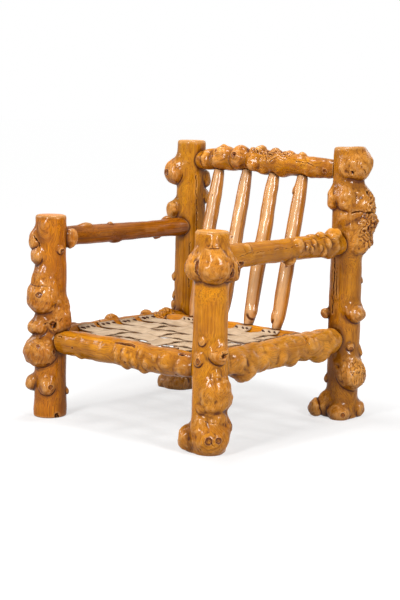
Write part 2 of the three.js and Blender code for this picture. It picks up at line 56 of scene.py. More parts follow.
chair = {
    "armDrop": {"left": 0.068, "right": 0.075},
    "crestDrop": 0.057,
    "seatHeight": 0.256,
    "railDrop": {"front": 0.024, "left": 0.024, "right": 0.016, "rear": 0.021},
    "rearRailSetback": 0.128,
    "fit": 0.0004,  # clearance where one log is scribed to another
    "scribeRound": 0.0015,  # how softly a scribed end is rounded
    "bodyInset": 0.5,  # a rail's body starts this share of its host's radius from its axis
    "outOfRound": 0.025,
    "burlDepth": 0.88,  # how far a burl stands out, for its width
    "gridSteps": {"post_rear": 0.0023, "post_front": 0.002, "back": 0.0018},
    "otherStep": 0.002,
}


noisePrimes = np.array([73856093, 19349663, 83492791])


# Smooth noise between about -1 and 1, with features of the given size: each corner of a grid has
# its own slope, hashed from its place and the seed
def softNoise(points, size, seed):
    cell = points / size
    low = np.floor(cell).astype(np.int64)
    part = (cell - low).astype(np.float32)
    fade = part * part * part * (part * (part * 6 - 15) + 10)
    total = np.zeros(points.shape[:-1], np.float32)
    for corner in range(8):
        step = np.array([corner & 1, corner >> 1 & 1, corner >> 2 & 1])
        key = (low + step) @ noisePrimes + seed * 2654435761
        key = (key ^ (key >> 15)) * 2246822519 & 0xFFFFFFFF
        key = (key ^ (key >> 13)) * 3266489917 & 0xFFFFFFFF
        slope = np.stack([key & 1023, key >> 10 & 1023, key >> 20 & 1023], -1) / 511.5 - 1
        weight = np.prod(np.where(step, fade, 1 - fade), -1)
        total += weight * np.sum(slope * (part - step), -1)
    return total * 1.5


# Three noises as a vector, to push points about
def noiseVector(points, size, seed):
    return np.stack([softNoise(points, size, seed + k) for k in range(3)], 1)


def smoothStep(low, high, value):
    part = np.clip((value - low) / (high - low), 0, 1)
    return part * part * (3 - 2 * part)


def softUnion(one, other, width):
    near = np.maximum(width - np.abs(one - other), 0) / width
    return np.minimum(one, other) - near * near * width / 4


def softCut(one, other, width):
    return -softUnion(-one, -other, width)


# A log between two axes. Its own axes run along it, to its zero turn, and a quarter turn on.
# The corners of its outline are rounded off by a running mean
def makeLog(start, end, zero, look, **more):
    along = (end - start).normalized()
    square = (zero - along * zero.dot(along)).normalized()
    rows = np.array([(row + [0])[:3] for row in look["outline"]])
    fine = np.linspace(0, 1, 160)
    weights = np.hanning(13)
    weights /= weights.sum()
    margin = len(weights) // 2
    outlines = [np.pad(np.interp(fine, rows[:, 0], rows[:, k]), margin, mode="edge") for k in (1, 2)]
    own = {
        "start": np.array(start),
        "axes": np.array([along, square, along.cross(square)]),
        "length": (end - start).length,
        "inset": (0, 0),
        "blend": (0.2, 0.8),  # how softly a burl's near and far ends flow into the trunk
        "melt": 0.004,
        "rim": 0.004,  # how softly its sawn ends are rounded
        "lumpy": 0.15,  # how much of the burls' lumps shows between them
        "swell": 0,  # the height of broad waves in its surface
        "fine": fine,
        "curves": [np.convolve(outline, weights, "valid") for outline in outlines],
        "rough": [],
        "knots": [],
        "cracks": [],
        "cuts": [],
        "neighbours": [],
    }
    return {**own, **look, **more}


def shareAt(log, a):
    low, high = log["inset"]
    return (a - low) / (log["length"] - low - high)


def distanceAt(log, share):
    low, high = log["inset"]
    return low + share * (log["length"] - low - high)


# Radius and sway of a log's trunk at a share of its body
def outlineAt(log, share):
    return [np.interp(share, log["fine"], curve) * log["radius"] for curve in log["curves"]]


def toWorld(log, local):
    return local @ log["axes"] + log["start"]


def toLog(log, world):
    return (world - log["start"]) @ log["axes"].T


# How far points lie outside a log's trunk, slightly out of round and sawn off at both ends
def trunkField(log, a, b, c):
    share = shareAt(log, a)
    radius, sway = outlineAt(log, share)
    b = b - sway
    square = b * b + c * c
    turned = math.pi * share
    wave = ((b * b - c * c) * np.cos(turned) - 2 * b * c * np.sin(turned)) / (square + 1e-9)
    side = np.sqrt(square) - radius * (1 + chair["outOfRound"] * wave)
    low, high = log["inset"]
    return softCut(softCut(side, low - a, log["rim"] / 2), a - (log["length"] - high), log["rim"])


# A burl is [place, turn in degrees, out, wide, long, tail, melt]. Place is a share of the log's
# length, and out, wide and long are shares of its radius. The tail is how many times longer the
# burl's far half is than its near half, and the melt is how softly it meets others, in metres
def burlParts(log, burl):
    place, turn, out, wide, long, tail, melt = burl + [1, log["melt"]][len(burl) - 5:]
    radius, turn = log["radius"], math.radians(turn)
    sway = float(outlineAt(log, place)[1])
    aside, up = out * radius * math.cos(turn) + sway, out * radius * math.sin(turn)
    radii = (long * radius, wide * radius * chair["burlDepth"], wide * radius)
    return (distanceAt(log, place), aside, up), turn, radii, tail, melt


# How far points lie outside a burl, and how far along it, from 0 at its near end to 1
def burlField(log, burl, a, b, c):
    middle, turn, radii, tail, _ = burlParts(log, burl)
    a, b, c = a - middle[0], b - middle[1], c - middle[2]
    long = np.where(a > 0, radii[0] * tail, radii[0])
    out, aside = b * math.cos(turn) + c * math.sin(turn), c * math.cos(turn) - b * math.sin(turn)
    parts = ((a, long), (out, radii[1]), (aside, radii[2]))
    near = np.sqrt(sum((p / r) ** 2 for p, r in parts))
    steep = np.sqrt(sum((p / r**2) ** 2 for p, r in parts))
    return near * (near - 1) / np.maximum(steep, 1e-9), smoothStep(-0.9, 0.9, a / radii[0])


# How far a burl raises the trunk's surface: it flows in softly, less so at its near end
def burlRise(log, burl, trunk, a, b, c):
    radii, _, melt = burlParts(log, burl)[2:]
    field, ahead = burlField(log, burl, a, b, c)
    soft = smoothStep(0.010, 0.018, melt)
    share = log["blend"][0] + (log["blend"][1] - log["blend"][0]) * np.maximum(ahead, soft)
    return trunk - softUnion(trunk, field, share * min(radii[0], radii[2])), melt


# Two rises together: the larger, rounded over where both are well up and nearly alike
def bothRises(one, other, melt):
    near = np.maximum(melt - np.abs(one - other), 0) / melt
    up = smoothStep(0, 0.4 * melt, np.minimum(one, other))
    return np.maximum(one, other) + near * near * melt / 4 * up


def fieldAt(log, a, b, c):
    trunk = trunkField(log, a, b, c)
    rise = np.zeros_like(trunk)
    for burl in log["burls"]:
        rise = bothRises(rise, *burlRise(log, burl, trunk, a, b, c))
    return trunk - rise


# The same on a grid of points, working only near each burl
def gridField(log, a, b, c):
    trunk = trunkField(log, a, b, c)
    rise = np.zeros_like(trunk)
    for burl in log["burls"]:
        middle, _, radii, tail, _ = burlParts(log, burl)
        reach = max(radii) * (1 + max(log["blend"])) + 0.006
        spans = []
        for axis, values in enumerate((a, b, c)):
            far = radii[0] * (tail - 1) if axis == 0 else 0
            offset = values.ravel() - middle[axis]
            inside = np.nonzero((offset > -reach) & (offset < reach + far))[0]
            spans.append(slice(inside[0], inside[-1] + 1))
        box = tuple(spans)
        part = burlRise(log, burl, trunk[box], a[box[0]], b[:, box[1]], c[:, :, box[2]])
        rise[box] = bothRises(rise[box], *part)
    return trunk - rise


def reachOf(log):
    most = max(row[1] + abs(row[2] if len(row) > 2 else 0) for row in log["outline"])
    for burl in log["burls"]:
        most = max(most, burl[2] + burl[3] * chair["burlDepth"])
    return (most + 0.2) * log["radius"]


# The surface of a log, scribed to what holds it, as points in its own axes and four-sided faces
def logSurface(log, step):
    reach, margin = reachOf(log), 4 * step
    a = np.arange(log["inset"][0] - margin, log["length"] - log["inset"][1] + margin, step)
    b = np.arange(-reach - margin, reach + margin, step)
    grid = [x.astype(np.float32) for x in (a[:, None, None], b[None, :, None], b[None, None, :])]
    field = gridField(log, *grid).astype(np.float32)
    for place, other in log["cuts"]:
        rows = np.nonzero(np.abs(a - place) < other["radius"] * 2.5)[0]
        cut = slice(rows[0], rows[-1] + 1)
        turned = log["axes"] @ other["axes"].T
        offset = toLog(other, log["start"])
        near = [grid[0][cut], grid[1], grid[2]]
        there = [sum(near[i] * turned[i, k] for i in range(3)) + offset[k] for k in range(3)]
        field[cut] = softCut(field[cut], chair["fit"] - fieldAt(other, *there), chair["scribeRound"])
    volume = vdb.FloatGrid(1.0)
    volume.copyFromArray(np.ascontiguousarray(np.clip(field, -3 * step, 3 * step) / step))
    points, quads = volume.convertToQuads()
    return largestPart(points * step + np.array([a[0], b[0], b[0]]), quads.astype(np.int64))


def largestPart(points, quads):
    label = np.arange(len(points))
    while True:
        new = label.copy()
        np.minimum.at(new, quads.ravel(), np.repeat(label[quads].min(1), 4))
        new = new[new]
        if (new == label).all():
            break
        label = new
    keep = label == np.bincount(label).argmax()
    order = np.cumsum(keep) - 1
    return points[keep], order[quads[keep[quads[:, 0]]]]


def surfaceNormals(points, quads):
    corner = points[quads]
    faces = np.cross(corner[:, 2] - corner[:, 0], corner[:, 3] - corner[:, 1])
    flat = quads.ravel()
    spread = np.repeat(faces, 4, axis=0)
    sums = np.stack([np.bincount(flat, spread[:, k], len(points)) for k in range(3)], 1)
    return sums / np.maximum(np.linalg.norm(sums, axis=1, keepdims=True), 1e-12)


# Each point moved to the mean of its neighbours along the edges, several times
def evened(points, quads, rounds):
    starts, ends = quads.ravel(), np.roll(quads, -1, axis=1).ravel()
    count = np.bincount(starts, minlength=len(points)) + np.bincount(ends, minlength=len(points))
    for _ in range(rounds):
        onwards = [np.bincount(starts, column[ends], len(points)) for column in points.T]
        backwards = [np.bincount(ends, column[starts], len(points)) for column in points.T]
        points = (np.stack(onwards, 1) + np.stack(backwards, 1)) / count[:, None]
    return points


# The surface point that lies furthest out at a place along the log and a turn about it
def spotOn(log, points, place, turn):
    a, turn = distanceAt(log, place), math.radians(turn)
    b = points[:, 1] - outlineAt(log, place)[1]
    out = b * math.cos(turn) + points[:, 2] * math.sin(turn)
    aside = points[:, 2] * math.cos(turn) - b * math.sin(turn)
    apart = np.hypot(points[:, 0] - a, aside)
    score = np.where(out > 0, np.maximum(apart, 0.003) - out * 0.05, 1)
    return points[score.argmin()]


# Distance of each point to a line through spots on the surface
def distanceToLine(log, points, line, wander, seed):
    spots = []
    for (place, turn), (nextPlace, nextTurn) in zip(line, line[1:]):
        for share in np.linspace(0, 1, 9)[:-1]:
            spots.append((place + (nextPlace - place) * share, turn + (nextTurn - turn) * share))
    spots.append(line[-1])
    route = np.array([spotOn(log, points, *spot) for spot in spots])
    moved = points + wander * noiseVector(points, 0.016, seed)
    nearest = np.full(len(points), 1.0)
    for one, other in zip(route, route[1:]):
        way = other - one
        along = np.clip((moved - one) @ way / max(way @ way, 1e-9), 0, 1)
        nearest = np.minimum(nearest, np.linalg.norm(moved - one - along[:, None] * way, axis=1))
    return nearest


# What the skin of each log has on top of its outline and burls: heights and sizes in metres
skin = {
    "calm": (0.0005, 0.014),  # how far from a joint the relief fades in
    "joint": (0.0004, 0.0035),  # how far from a joint the wood is stained
    "endFade": 0.03,  # how far from a sawn end the log's bends fade in, and then its relief
    "reliefFade": 0.008,
    "burlEdge": 0.012,  # how far outside the trunk wood is all burl
    "warp": 0.0042, "warpSize": 0.042,
    "bend": 0.0018, "bendSize": 0.019,
    "sway": 0.002, "swaySize": 0.16, "swayFade": (0.0005, 0.05),
    "nudgeSize": 0.03,
    "flute": 0.0013, "fluteSize": 0.022, "fluteStretch": 0.16,
    "lump": 0.0019, "lumpSize": 0.024,
    "swellSize": 0.046,
    "pebble": 0.0004, "pebbleSize": 0.0105,
    "wrinkle": 0.0009, "wrinkleSize": 0.014, "wrinkleStretch": 0.55, "patchSize": 0.045,
    "fibre": 0.0006, "fibreSize": 0.0075, "fibreStretch": 0.3,
    "seamDepth": 0.0012, "seamWidth": 0.0045,
    "crackDepth": 0.0036, "crackWidth": 0.0016, "crackWander": 0.0035,
    "layer": 0.019,  # how far apart the lips of rough patches are
    "fineFold": 0.0006, "broadFold": 0.0030,  # folds this deep show in full
    "shelter": (0.009, 0.024),  # how far out from the skin it is tested for nearby wood
    "front": (0.9, 0.44),  # the side of a log, in its own axes, that has the painted highlight
    "far": 3.0,  # cracks and knots are told as distances, up to this many of their own sizes
}
knotDepth = {"hole": 0.6, "eye": 0.3, "rings": 0.1, "star": 0.34}


# Five cracks that run outwards from a knot, as a distance map
def starCracks(points, offset, turn, size, seed):
    out = np.array([0, math.cos(math.radians(turn)), math.sin(math.radians(turn))])
    along, aside = offset[:, 0], offset @ np.cross([1, 0, 0], out)
    inside = np.linalg.norm(offset, axis=1)
    wander = size * 0.25 * softNoise(points, size * 0.6, seed + 3)
    nearest = np.full(len(points), skin["far"])
    for k in range(5):
        angle = k * 1.2566 + 0.5 * math.sin(seed * 3.7 + k * 5.1)
        ahead = along * math.cos(angle) + aside * math.sin(angle)
        side = np.abs(aside * math.cos(angle) - along * math.sin(angle) + wander)
        reach = (1.35 + 0.35 * math.sin(k * 2.3 + seed)) * size
        gap = side / (skin["crackWidth"] * 0.8 * np.clip(1.4 - ahead / reach, 0.4, 1.3))
        gap = gap + 3 * smoothStep(0.85, 1.0, ahead / reach) + 3 * (ahead < 0)
        nearest = np.minimum(nearest, np.where(inside < reach * 1.2, gap, skin["far"]))
    return nearest


# A knot is [place, turn, size, kind, stretch]: its relief, its distance map, its own cracks and its
# rings. Holes are deep, eyes have a lip and a small pit at their lower side, and stars are cracked
def knotRelief(log, points, knot, seed):
    place, turn, share, kind, stretch = knot + [1][len(knot) - 4:]
    middle = spotOn(log, points, place, turn)
    size = share * log["radius"]
    offset = (points - middle) / [stretch, 1, 1]
    away = np.linalg.norm(offset, axis=1) / size
    away = away * (1 + 0.2 * softNoise(points, size * 0.8, seed))
    rough = 0.7 + 0.9 * np.abs(softNoise(points, size * 0.35, seed + 1))
    lip = np.exp(-(((away - 1.1) / 0.38) ** 2))
    bowl = np.exp(-((away / 0.72) ** 4))
    rise = size * (0.16 * lip - knotDepth[kind] * bowl * rough)
    crack = away / 0.62 if kind == "hole" else np.full(len(points), skin["far"])
    if kind in ("eye", "star"):
        below = np.linalg.norm(points - middle + [0.4 * size * stretch, 0, 0], axis=1) / size
        pit = below * (1 + 0.35 * softNoise(points, size * 0.5, seed + 2))
        rise -= 0.2 * size * np.exp(-((pit / 0.4) ** 2))
        crack = np.minimum(crack, pit / 0.24)
    ringed = (kind == "rings") * np.exp(-((away / 1.3) ** 4))
    if kind == "star":
        crack = np.minimum(crack, starCracks(points, offset, turn, size, seed))
        away = away + 3 * smoothStep(0.5, 0.75, away)
    return rise, away, crack, ringed


# How closed in each point is, 0 to 1, by how near wood lies to places straight out from it
def shelterOf(log, points, normals):
    total = np.zeros(len(points))
    for far in skin["shelter"]:
        probe = points + normals * far
        gap = fieldAt(log, *probe.T)
        for other in log["neighbours"]:
            gap = np.minimum(gap, trunkField(other, *toLog(other, toWorld(log, probe)).T))
        total += 1 - np.clip(gap / far, 0, 1)
    return total / len(skin["shelter"])


# Where burls meet each other or overhang the trunk, and how firm the nearest one is: a burl that
# melts into others has no seam
def burlSeams(log, points, outside):
    first, second = np.ones(len(points)), np.ones(len(points))
    under, firm = np.zeros(len(points)), np.ones(len(points))
    for burl in log["burls"]:
        field, ahead = burlField(log, burl, *points.T)
        closest = field < first
        second = np.where(closest, first, np.minimum(second, field))
        under = np.where(closest, 1 - ahead, under)
        firm = np.where(closest, smoothStep(0.012, 0.004, burlParts(log, burl)[4]), firm)
        first = np.minimum(first, field)
    seam = 1 - smoothStep(0, skin["seamWidth"], second - first)
    seam = seam * (1 - smoothStep(0.002, 0.008, first))
    foot = (1 - smoothStep(0.0004, 0.0035, np.abs(outside - first))) * smoothStep(0.4, 0.9, under)
    return np.maximum(seam, foot) * firm, firm


# Flutes and lumps all over, and pebbles, wrinkles and fibres on the burls
def skinRelief(log, points, nudge, burl, firm, seed):
    # Noise of one kind, pushed about and drawn out along the log
    def relief(kind, wander, stretch, number):
        drawn = (points + wander * nudge) * np.array([stretch, 1, 1])
        return softNoise(drawn, skin[kind + "Size"], seed + number)

    rise = skin["flute"] * relief("flute", 0, skin["fluteStretch"], 0) * (1 - 0.6 * burl)
    rise += skin["lump"] * relief("lump", 0.004, 1, 1) * (log["lumpy"] + burl)
    rise += log["swell"] * relief("swell", 0.008, 1, 12)
    rise += skin["pebble"] * relief("pebble", 0, 1, 2) * burl
    folds = 1 - np.abs(relief("wrinkle", 0.008, skin["wrinkleStretch"], 3)) * 4
    folds = np.clip(folds * (0.35 + 0.65 * firm), 0, 1) ** 2
    patches = smoothStep(-0.15, 0.3, relief("patch", 0, 1, 4))
    rise -= skin["wrinkle"] * folds * burl * patches
    fibres = relief("fibre", 0.006, skin["fibreStretch"], 13)
    return rise + skin["fibre"] * fibres * (0.3 + 0.7 * burl)


# A rough patch is [place, turn, reach, height]: broken layers of bark, and the splits between them
def roughRelief(log, points, nudge, patch, seed):
    place, turn, reach, height = patch
    away = np.linalg.norm(points - spotOn(log, points, place, turn), axis=1) / (reach * log["radius"])
    inside = 1 - smoothStep(0.6, 1.0, away + 0.25 * softNoise(points, 0.03, seed + 5))
    drift = 2.6 * softNoise(points, 0.045, seed + 6) + 0.4 * softNoise(points, 0.014, seed + 8)
    layer = (away * reach * log["radius"] / skin["layer"] + drift) % 1
    chips = softNoise(points + 0.004 * nudge, 0.010, seed + 7)
    gap = np.minimum(layer, 1 - layer) / 0.10
    parted = smoothStep(0.05, 0.35, softNoise(points, 0.03, seed + 9)) * inside
    rise = height * inside * (layer - 0.4 + 0.9 * chips) - height * parted * np.exp(-(gap**2))
    return rise, 3 - (3 - np.minimum(gap * 2.2, 3)) * parted


# A log's bare surface with its skin on, and what its colour needs to know at each point
def dressLog(log, points, quads, seed):
    normals = surfaceNormals(points, quads)
    shelter = shelterOf(log, points, normals)
    outside = trunkField(log, *points.T)
    world = toWorld(log, points)
    nearest = np.min([fieldAt(other, *toLog(other, world).T) for other in log["neighbours"]], axis=0)
    calm = smoothStep(*skin["calm"], nearest)
    seam, firm = burlSeams(log, points, outside)
    low, high = log["inset"]
    fromEnd = np.minimum(points[:, 0] - low, log["length"] - high - points[:, 0])
    ends = smoothStep(0, skin["endFade"], fromEnd)
    warp = noiseVector(points, skin["warpSize"], seed + 40)
    sway = noiseVector(points, skin["swaySize"], seed + 50)
    burl = smoothStep(0, skin["burlEdge"], outside + 0.004 * warp[:, 0])
    points = points + (skin["warp"] * (0.25 + burl) * calm * ends)[:, None] * warp
    points = points + (skin["sway"] * smoothStep(*skin["swayFade"], nearest) * ends)[:, None] * sway
    bend = noiseVector(points, skin["bendSize"], seed + 55)
    points = points + (skin["bend"] * burl * calm * ends)[:, None] * bend
    nudge = noiseVector(points, skin["nudgeSize"], seed + 20)
    rise = skinRelief(log, points, nudge, burl, firm, seed) - skin["seamDepth"] * seam
    crack, knot = np.full(len(points), skin["far"]), np.full(len(points), skin["far"])
    ringed = np.zeros(len(points))
    for patch in log["rough"]:
        relief, split = roughRelief(log, points, nudge, patch, seed)
        rise += relief
        crack = np.minimum(crack, split)
    for k, spot in enumerate(log["knots"]):
        relief, away, split, rings = knotRelief(log, points, spot, seed + 60 + 5 * k)
        rise += relief
        knot, crack = np.minimum(knot, away), np.minimum(crack, split)
        ringed = np.maximum(ringed, rings)
    for width, line in log["cracks"]:
        away = distanceToLine(log, points, line, skin["crackWander"], seed + 30)
        away = away / (width * skin["crackWidth"])
        rise -= skin["crackDepth"] * min(width, 1.3) * np.exp(-(away**2))
        crack = np.minimum(crack, away)
    points = points + normals * (rise * calm * smoothStep(0, skin["reliefFade"], fromEnd))[:, None]
    if not log["cuts"]:  # a post stands on the floor
        points[:, 0] = np.maximum(points[:, 0], 0)
    normals = surfaceNormals(points, quads)
    near = evened(points, quads, 4)
    wide = evened(near, quads, 12)
    hollow = np.sum((near - points) * normals, 1) / skin["fineFold"]
    hollow += np.sum((wide - points) * normals, 1) / skin["broadFold"]
    level = smoothStep(0.75, 0.95, np.abs(normals[:, 0]))
    return points, {
        "burl": burl * (0.6 + 0.4 * firm),
        "seam": seam * calm,
        "shelter": shelter,
        "hollow": np.clip(hollow, -1, 1),
        "knot": np.clip(knot, 0, skin["far"]),
        "ringed": ringed,
        "crack": np.clip(crack, 0, skin["far"]),
        "joint": 1 - smoothStep(*skin["joint"], nearest),
        "sawn": level * (1 - smoothStep(0.001, 0.004, np.abs(fromEnd))),
        "facing": points[:, 1:] @ skin["front"] / (np.hypot(points[:, 1], points[:, 2]) + 1e-9),
        "grain": grainOf(log, points, seed),
    }


# Grain runs along the log and flows round its burls, as water round a stone
def grainOf(log, points, seed):
    grain = points.copy()
    for burl in log["burls"]:
        middle, turn, radii = burlParts(log, burl)[:3]
        along = points[:, 0] - middle[0]
        aside = points[:, 2] * math.cos(turn) - points[:, 1] * math.sin(turn)
        out = points[:, 1] * math.cos(turn) + points[:, 2] * math.sin(turn)
        size = (radii[0] + radii[2]) / 2
        part = np.minimum(size**2 / (along**2 + aside**2 + 1e-9), 0.9) * (out > 0)
        part *= 1 - smoothStep(1.5, 3.0, np.hypot(along, aside) / size)
        grain[:, 1] += aside * math.sin(turn) * part
        grain[:, 2] -= aside * math.cos(turn) * part
    return grain + seed * 0.173


def addMesh(name, points, quads, material, attributes=None):
    mesh = bpy.data.meshes.new(name)
    mesh.vertices.add(len(points))
    mesh.vertices.foreach_set("co", points.astype(np.float32).ravel())
    mesh.loops.add(quads.size)
    mesh.loops.foreach_set("vertex_index", quads.astype(np.int32).ravel())
    mesh.polygons.add(len(quads))
    mesh.polygons.foreach_set("loop_start", np.arange(0, quads.size, 4, dtype=np.int32))
    mesh.update(calc_edges=True)
    mesh.shade_smooth()
    for key, values in (attributes or {}).items():
        kind, slot = ("FLOAT", "value") if values.ndim == 1 else ("FLOAT_VECTOR", "vector")
        layer = mesh.attributes.new(key, kind, "POINT")
        layer.data.foreach_set(slot, values.astype(np.float32).ravel())
    mesh.materials.append(material)
    piece = bpy.data.objects.new(name, mesh)
    bpy.context.scene.collection.objects.link(piece)
    return piece


# A socket that can be added, subtracted and multiplied like a number
class Value:
    def __init__(self, shader, socket):
        self.shader, self.socket = shader, socket

    def maths(self, operation, *parts):
        return self.shader.maths(operation, *parts)

    def __add__(self, other):
        return self.maths("ADD", self, other)

    def __radd__(self, other):
        return self.maths("ADD", other, self)

    def __sub__(self, other):
        return self.maths("SUBTRACT", self, other)

    def __rsub__(self, other):
        return self.maths("SUBTRACT", other, self)

    def __mul__(self, other):
        return self.maths("MULTIPLY", self, other)

    def __rmul__(self, other):
        return self.maths("MULTIPLY", other, self)

    def __abs__(self):
        return self.maths("ABSOLUTE", self)


class Outputs:
    def __init__(self, shader, node):
        self.shader, self.node = shader, node

    def __getitem__(self, key):
        return Value(self.shader, self.node.outputs[key])


# The nodes of a material or of the world
class Shader:
    def __init__(self, holder):
        holder.use_nodes = True
        self.holder, self.tree = holder, holder.node_tree
        self.tree.nodes.clear()

    # Any node: its settings first, then its sockets' values or links
    def node(self, kind, settings=None, inputs=None):
        node = self.tree.nodes.new(kind)
        for key, setting in (settings or {}).items():
            if key == "stops":
                self.setStops(node.color_ramp, setting)
            else:
                setattr(node, key, setting)
        for key, value in (inputs or {}).items():
            if isinstance(value, Value):
                self.tree.links.new(value.socket, node.inputs[key])
            else:
                node.inputs[key].default_value = value
        return Outputs(self, node)

    def setStops(self, ramp, stops):
        while len(ramp.elements) < len(stops):
            ramp.elements.new(1)
        for element, (place, level) in zip(ramp.elements, stops):
            element.position = place
            element.color = (level, level, level, 1)

    def maths(self, operation, *parts):
        return self.node("ShaderNodeMath", {"operation": operation}, dict(enumerate(parts)))["Value"]

    def attribute(self, key, output="Fac"):
        return self.node("ShaderNodeAttribute", {"attribute_name": key})[output]

    def ramp(self, value, *stops):
        return self.node("ShaderNodeValToRGB", {"stops": stops}, {"Fac": value})["Color"]

    def length(self, vector):
        return self.node("ShaderNodeVectorMath", {"operation": "LENGTH"}, {0: vector})["Value"]

    def mix(self, share, one, other):
        settings = {"data_type": "RGBA", "clamp_factor": True}
        return self.node("ShaderNodeMix", settings, {0: share, 6: one, 7: other})[2]

    # Colours laid over a body one after another, each where its mask is
    def coats(self, body, *layers):
        for mask, paint in layers:
            body = self.mix(mask, body, paint)
        return body

    def stretch(self, vector, sizes):
        settings = {"operation": "MULTIPLY"}
        return self.node("ShaderNodeVectorMath", settings, {0: vector, 1: sizes})["Vector"]

    # The scale is one number, or three for a pattern drawn out along the grain
    def noise(self, vector, scale, detail=2, roughness=0.5, distortion=0):
        if isinstance(scale, tuple):
            vector, scale = self.stretch(vector, scale), 1
        inputs = {"Vector": vector, "Scale": scale, "Detail": detail}
        inputs.update({"Roughness": roughness, "Distortion": distortion})
        return self.node("ShaderNodeTexNoise", None, inputs)["Fac"]

    def cells(self, vector, scale):
        return self.node("ShaderNodeTexVoronoi", None, {"Vector": vector, "Scale": scale})["Distance"]

    def bump(self, height, distance, strength, below=None):
        inputs = {"Height": height, "Distance": distance, "Strength": strength}
        if below:
            inputs["Normal"] = below
        return self.node("ShaderNodeBump", None, inputs)["Normal"]

    def finish(self, inputs):
        surface = self.node("ShaderNodeBsdfPrincipled", None, inputs)["BSDF"]
        self.node("ShaderNodeOutputMaterial", None, {"Surface": surface})
        return self.holder


# A colour given as three numbers from 0 to 255, as Blender's linear light
def colour(red, green, blue):
    def linear(level):
        level = level / 255
        return level / 12.92 if level < 0.04045 else ((level + 0.055) / 1.055) ** 2.4

    return (linear(red), linear(green), linear(blue), 1)


def paintOf(look):
    return {key: colour(*value) for key, value in look.items() if isinstance(value, tuple)}


pine = {
    "light": (230, 152, 42),
    "middle": (208, 126, 22),
    "deep": (150, 80, 10),
    "burlLight": (238, 162, 66),
    "burlDark": (182, 104, 10),
    "worn": (250, 196, 128),
    "shaded": (112, 62, 4),
    "amber": (88, 40, 4),
    "knotRed": (150, 78, 26),
    "knotRim": (84, 30, 8),
    "knotDark": (36, 14, 6),
    "streaks": 1,  # how strong the lines along the grain are
    "sunned": 0,  # how strong the painted highlight down the front of a log is
    "roughness": 0.36,
    "specular": 0.05,
    "coat": 0.13,
    "coatRoughness": 0.15,
    "coatIor": 2.1,
}
# How fine the wood's patterns are, in repeats a metre: along the log and across it, or all ways
pineScales = {
    "bands": (3, 95, 95),
    "lines": (2.5, 330, 330),
    "hairs": (12, 900, 900),
    "fleece": (60, 150, 150),
    "grit": (140, 290, 290),
    "patches": 13,
    "tint": 18,
    "clumps": 34,
    "swirl": 60,
    "freckles": 210,
    "rings": 1700,
}
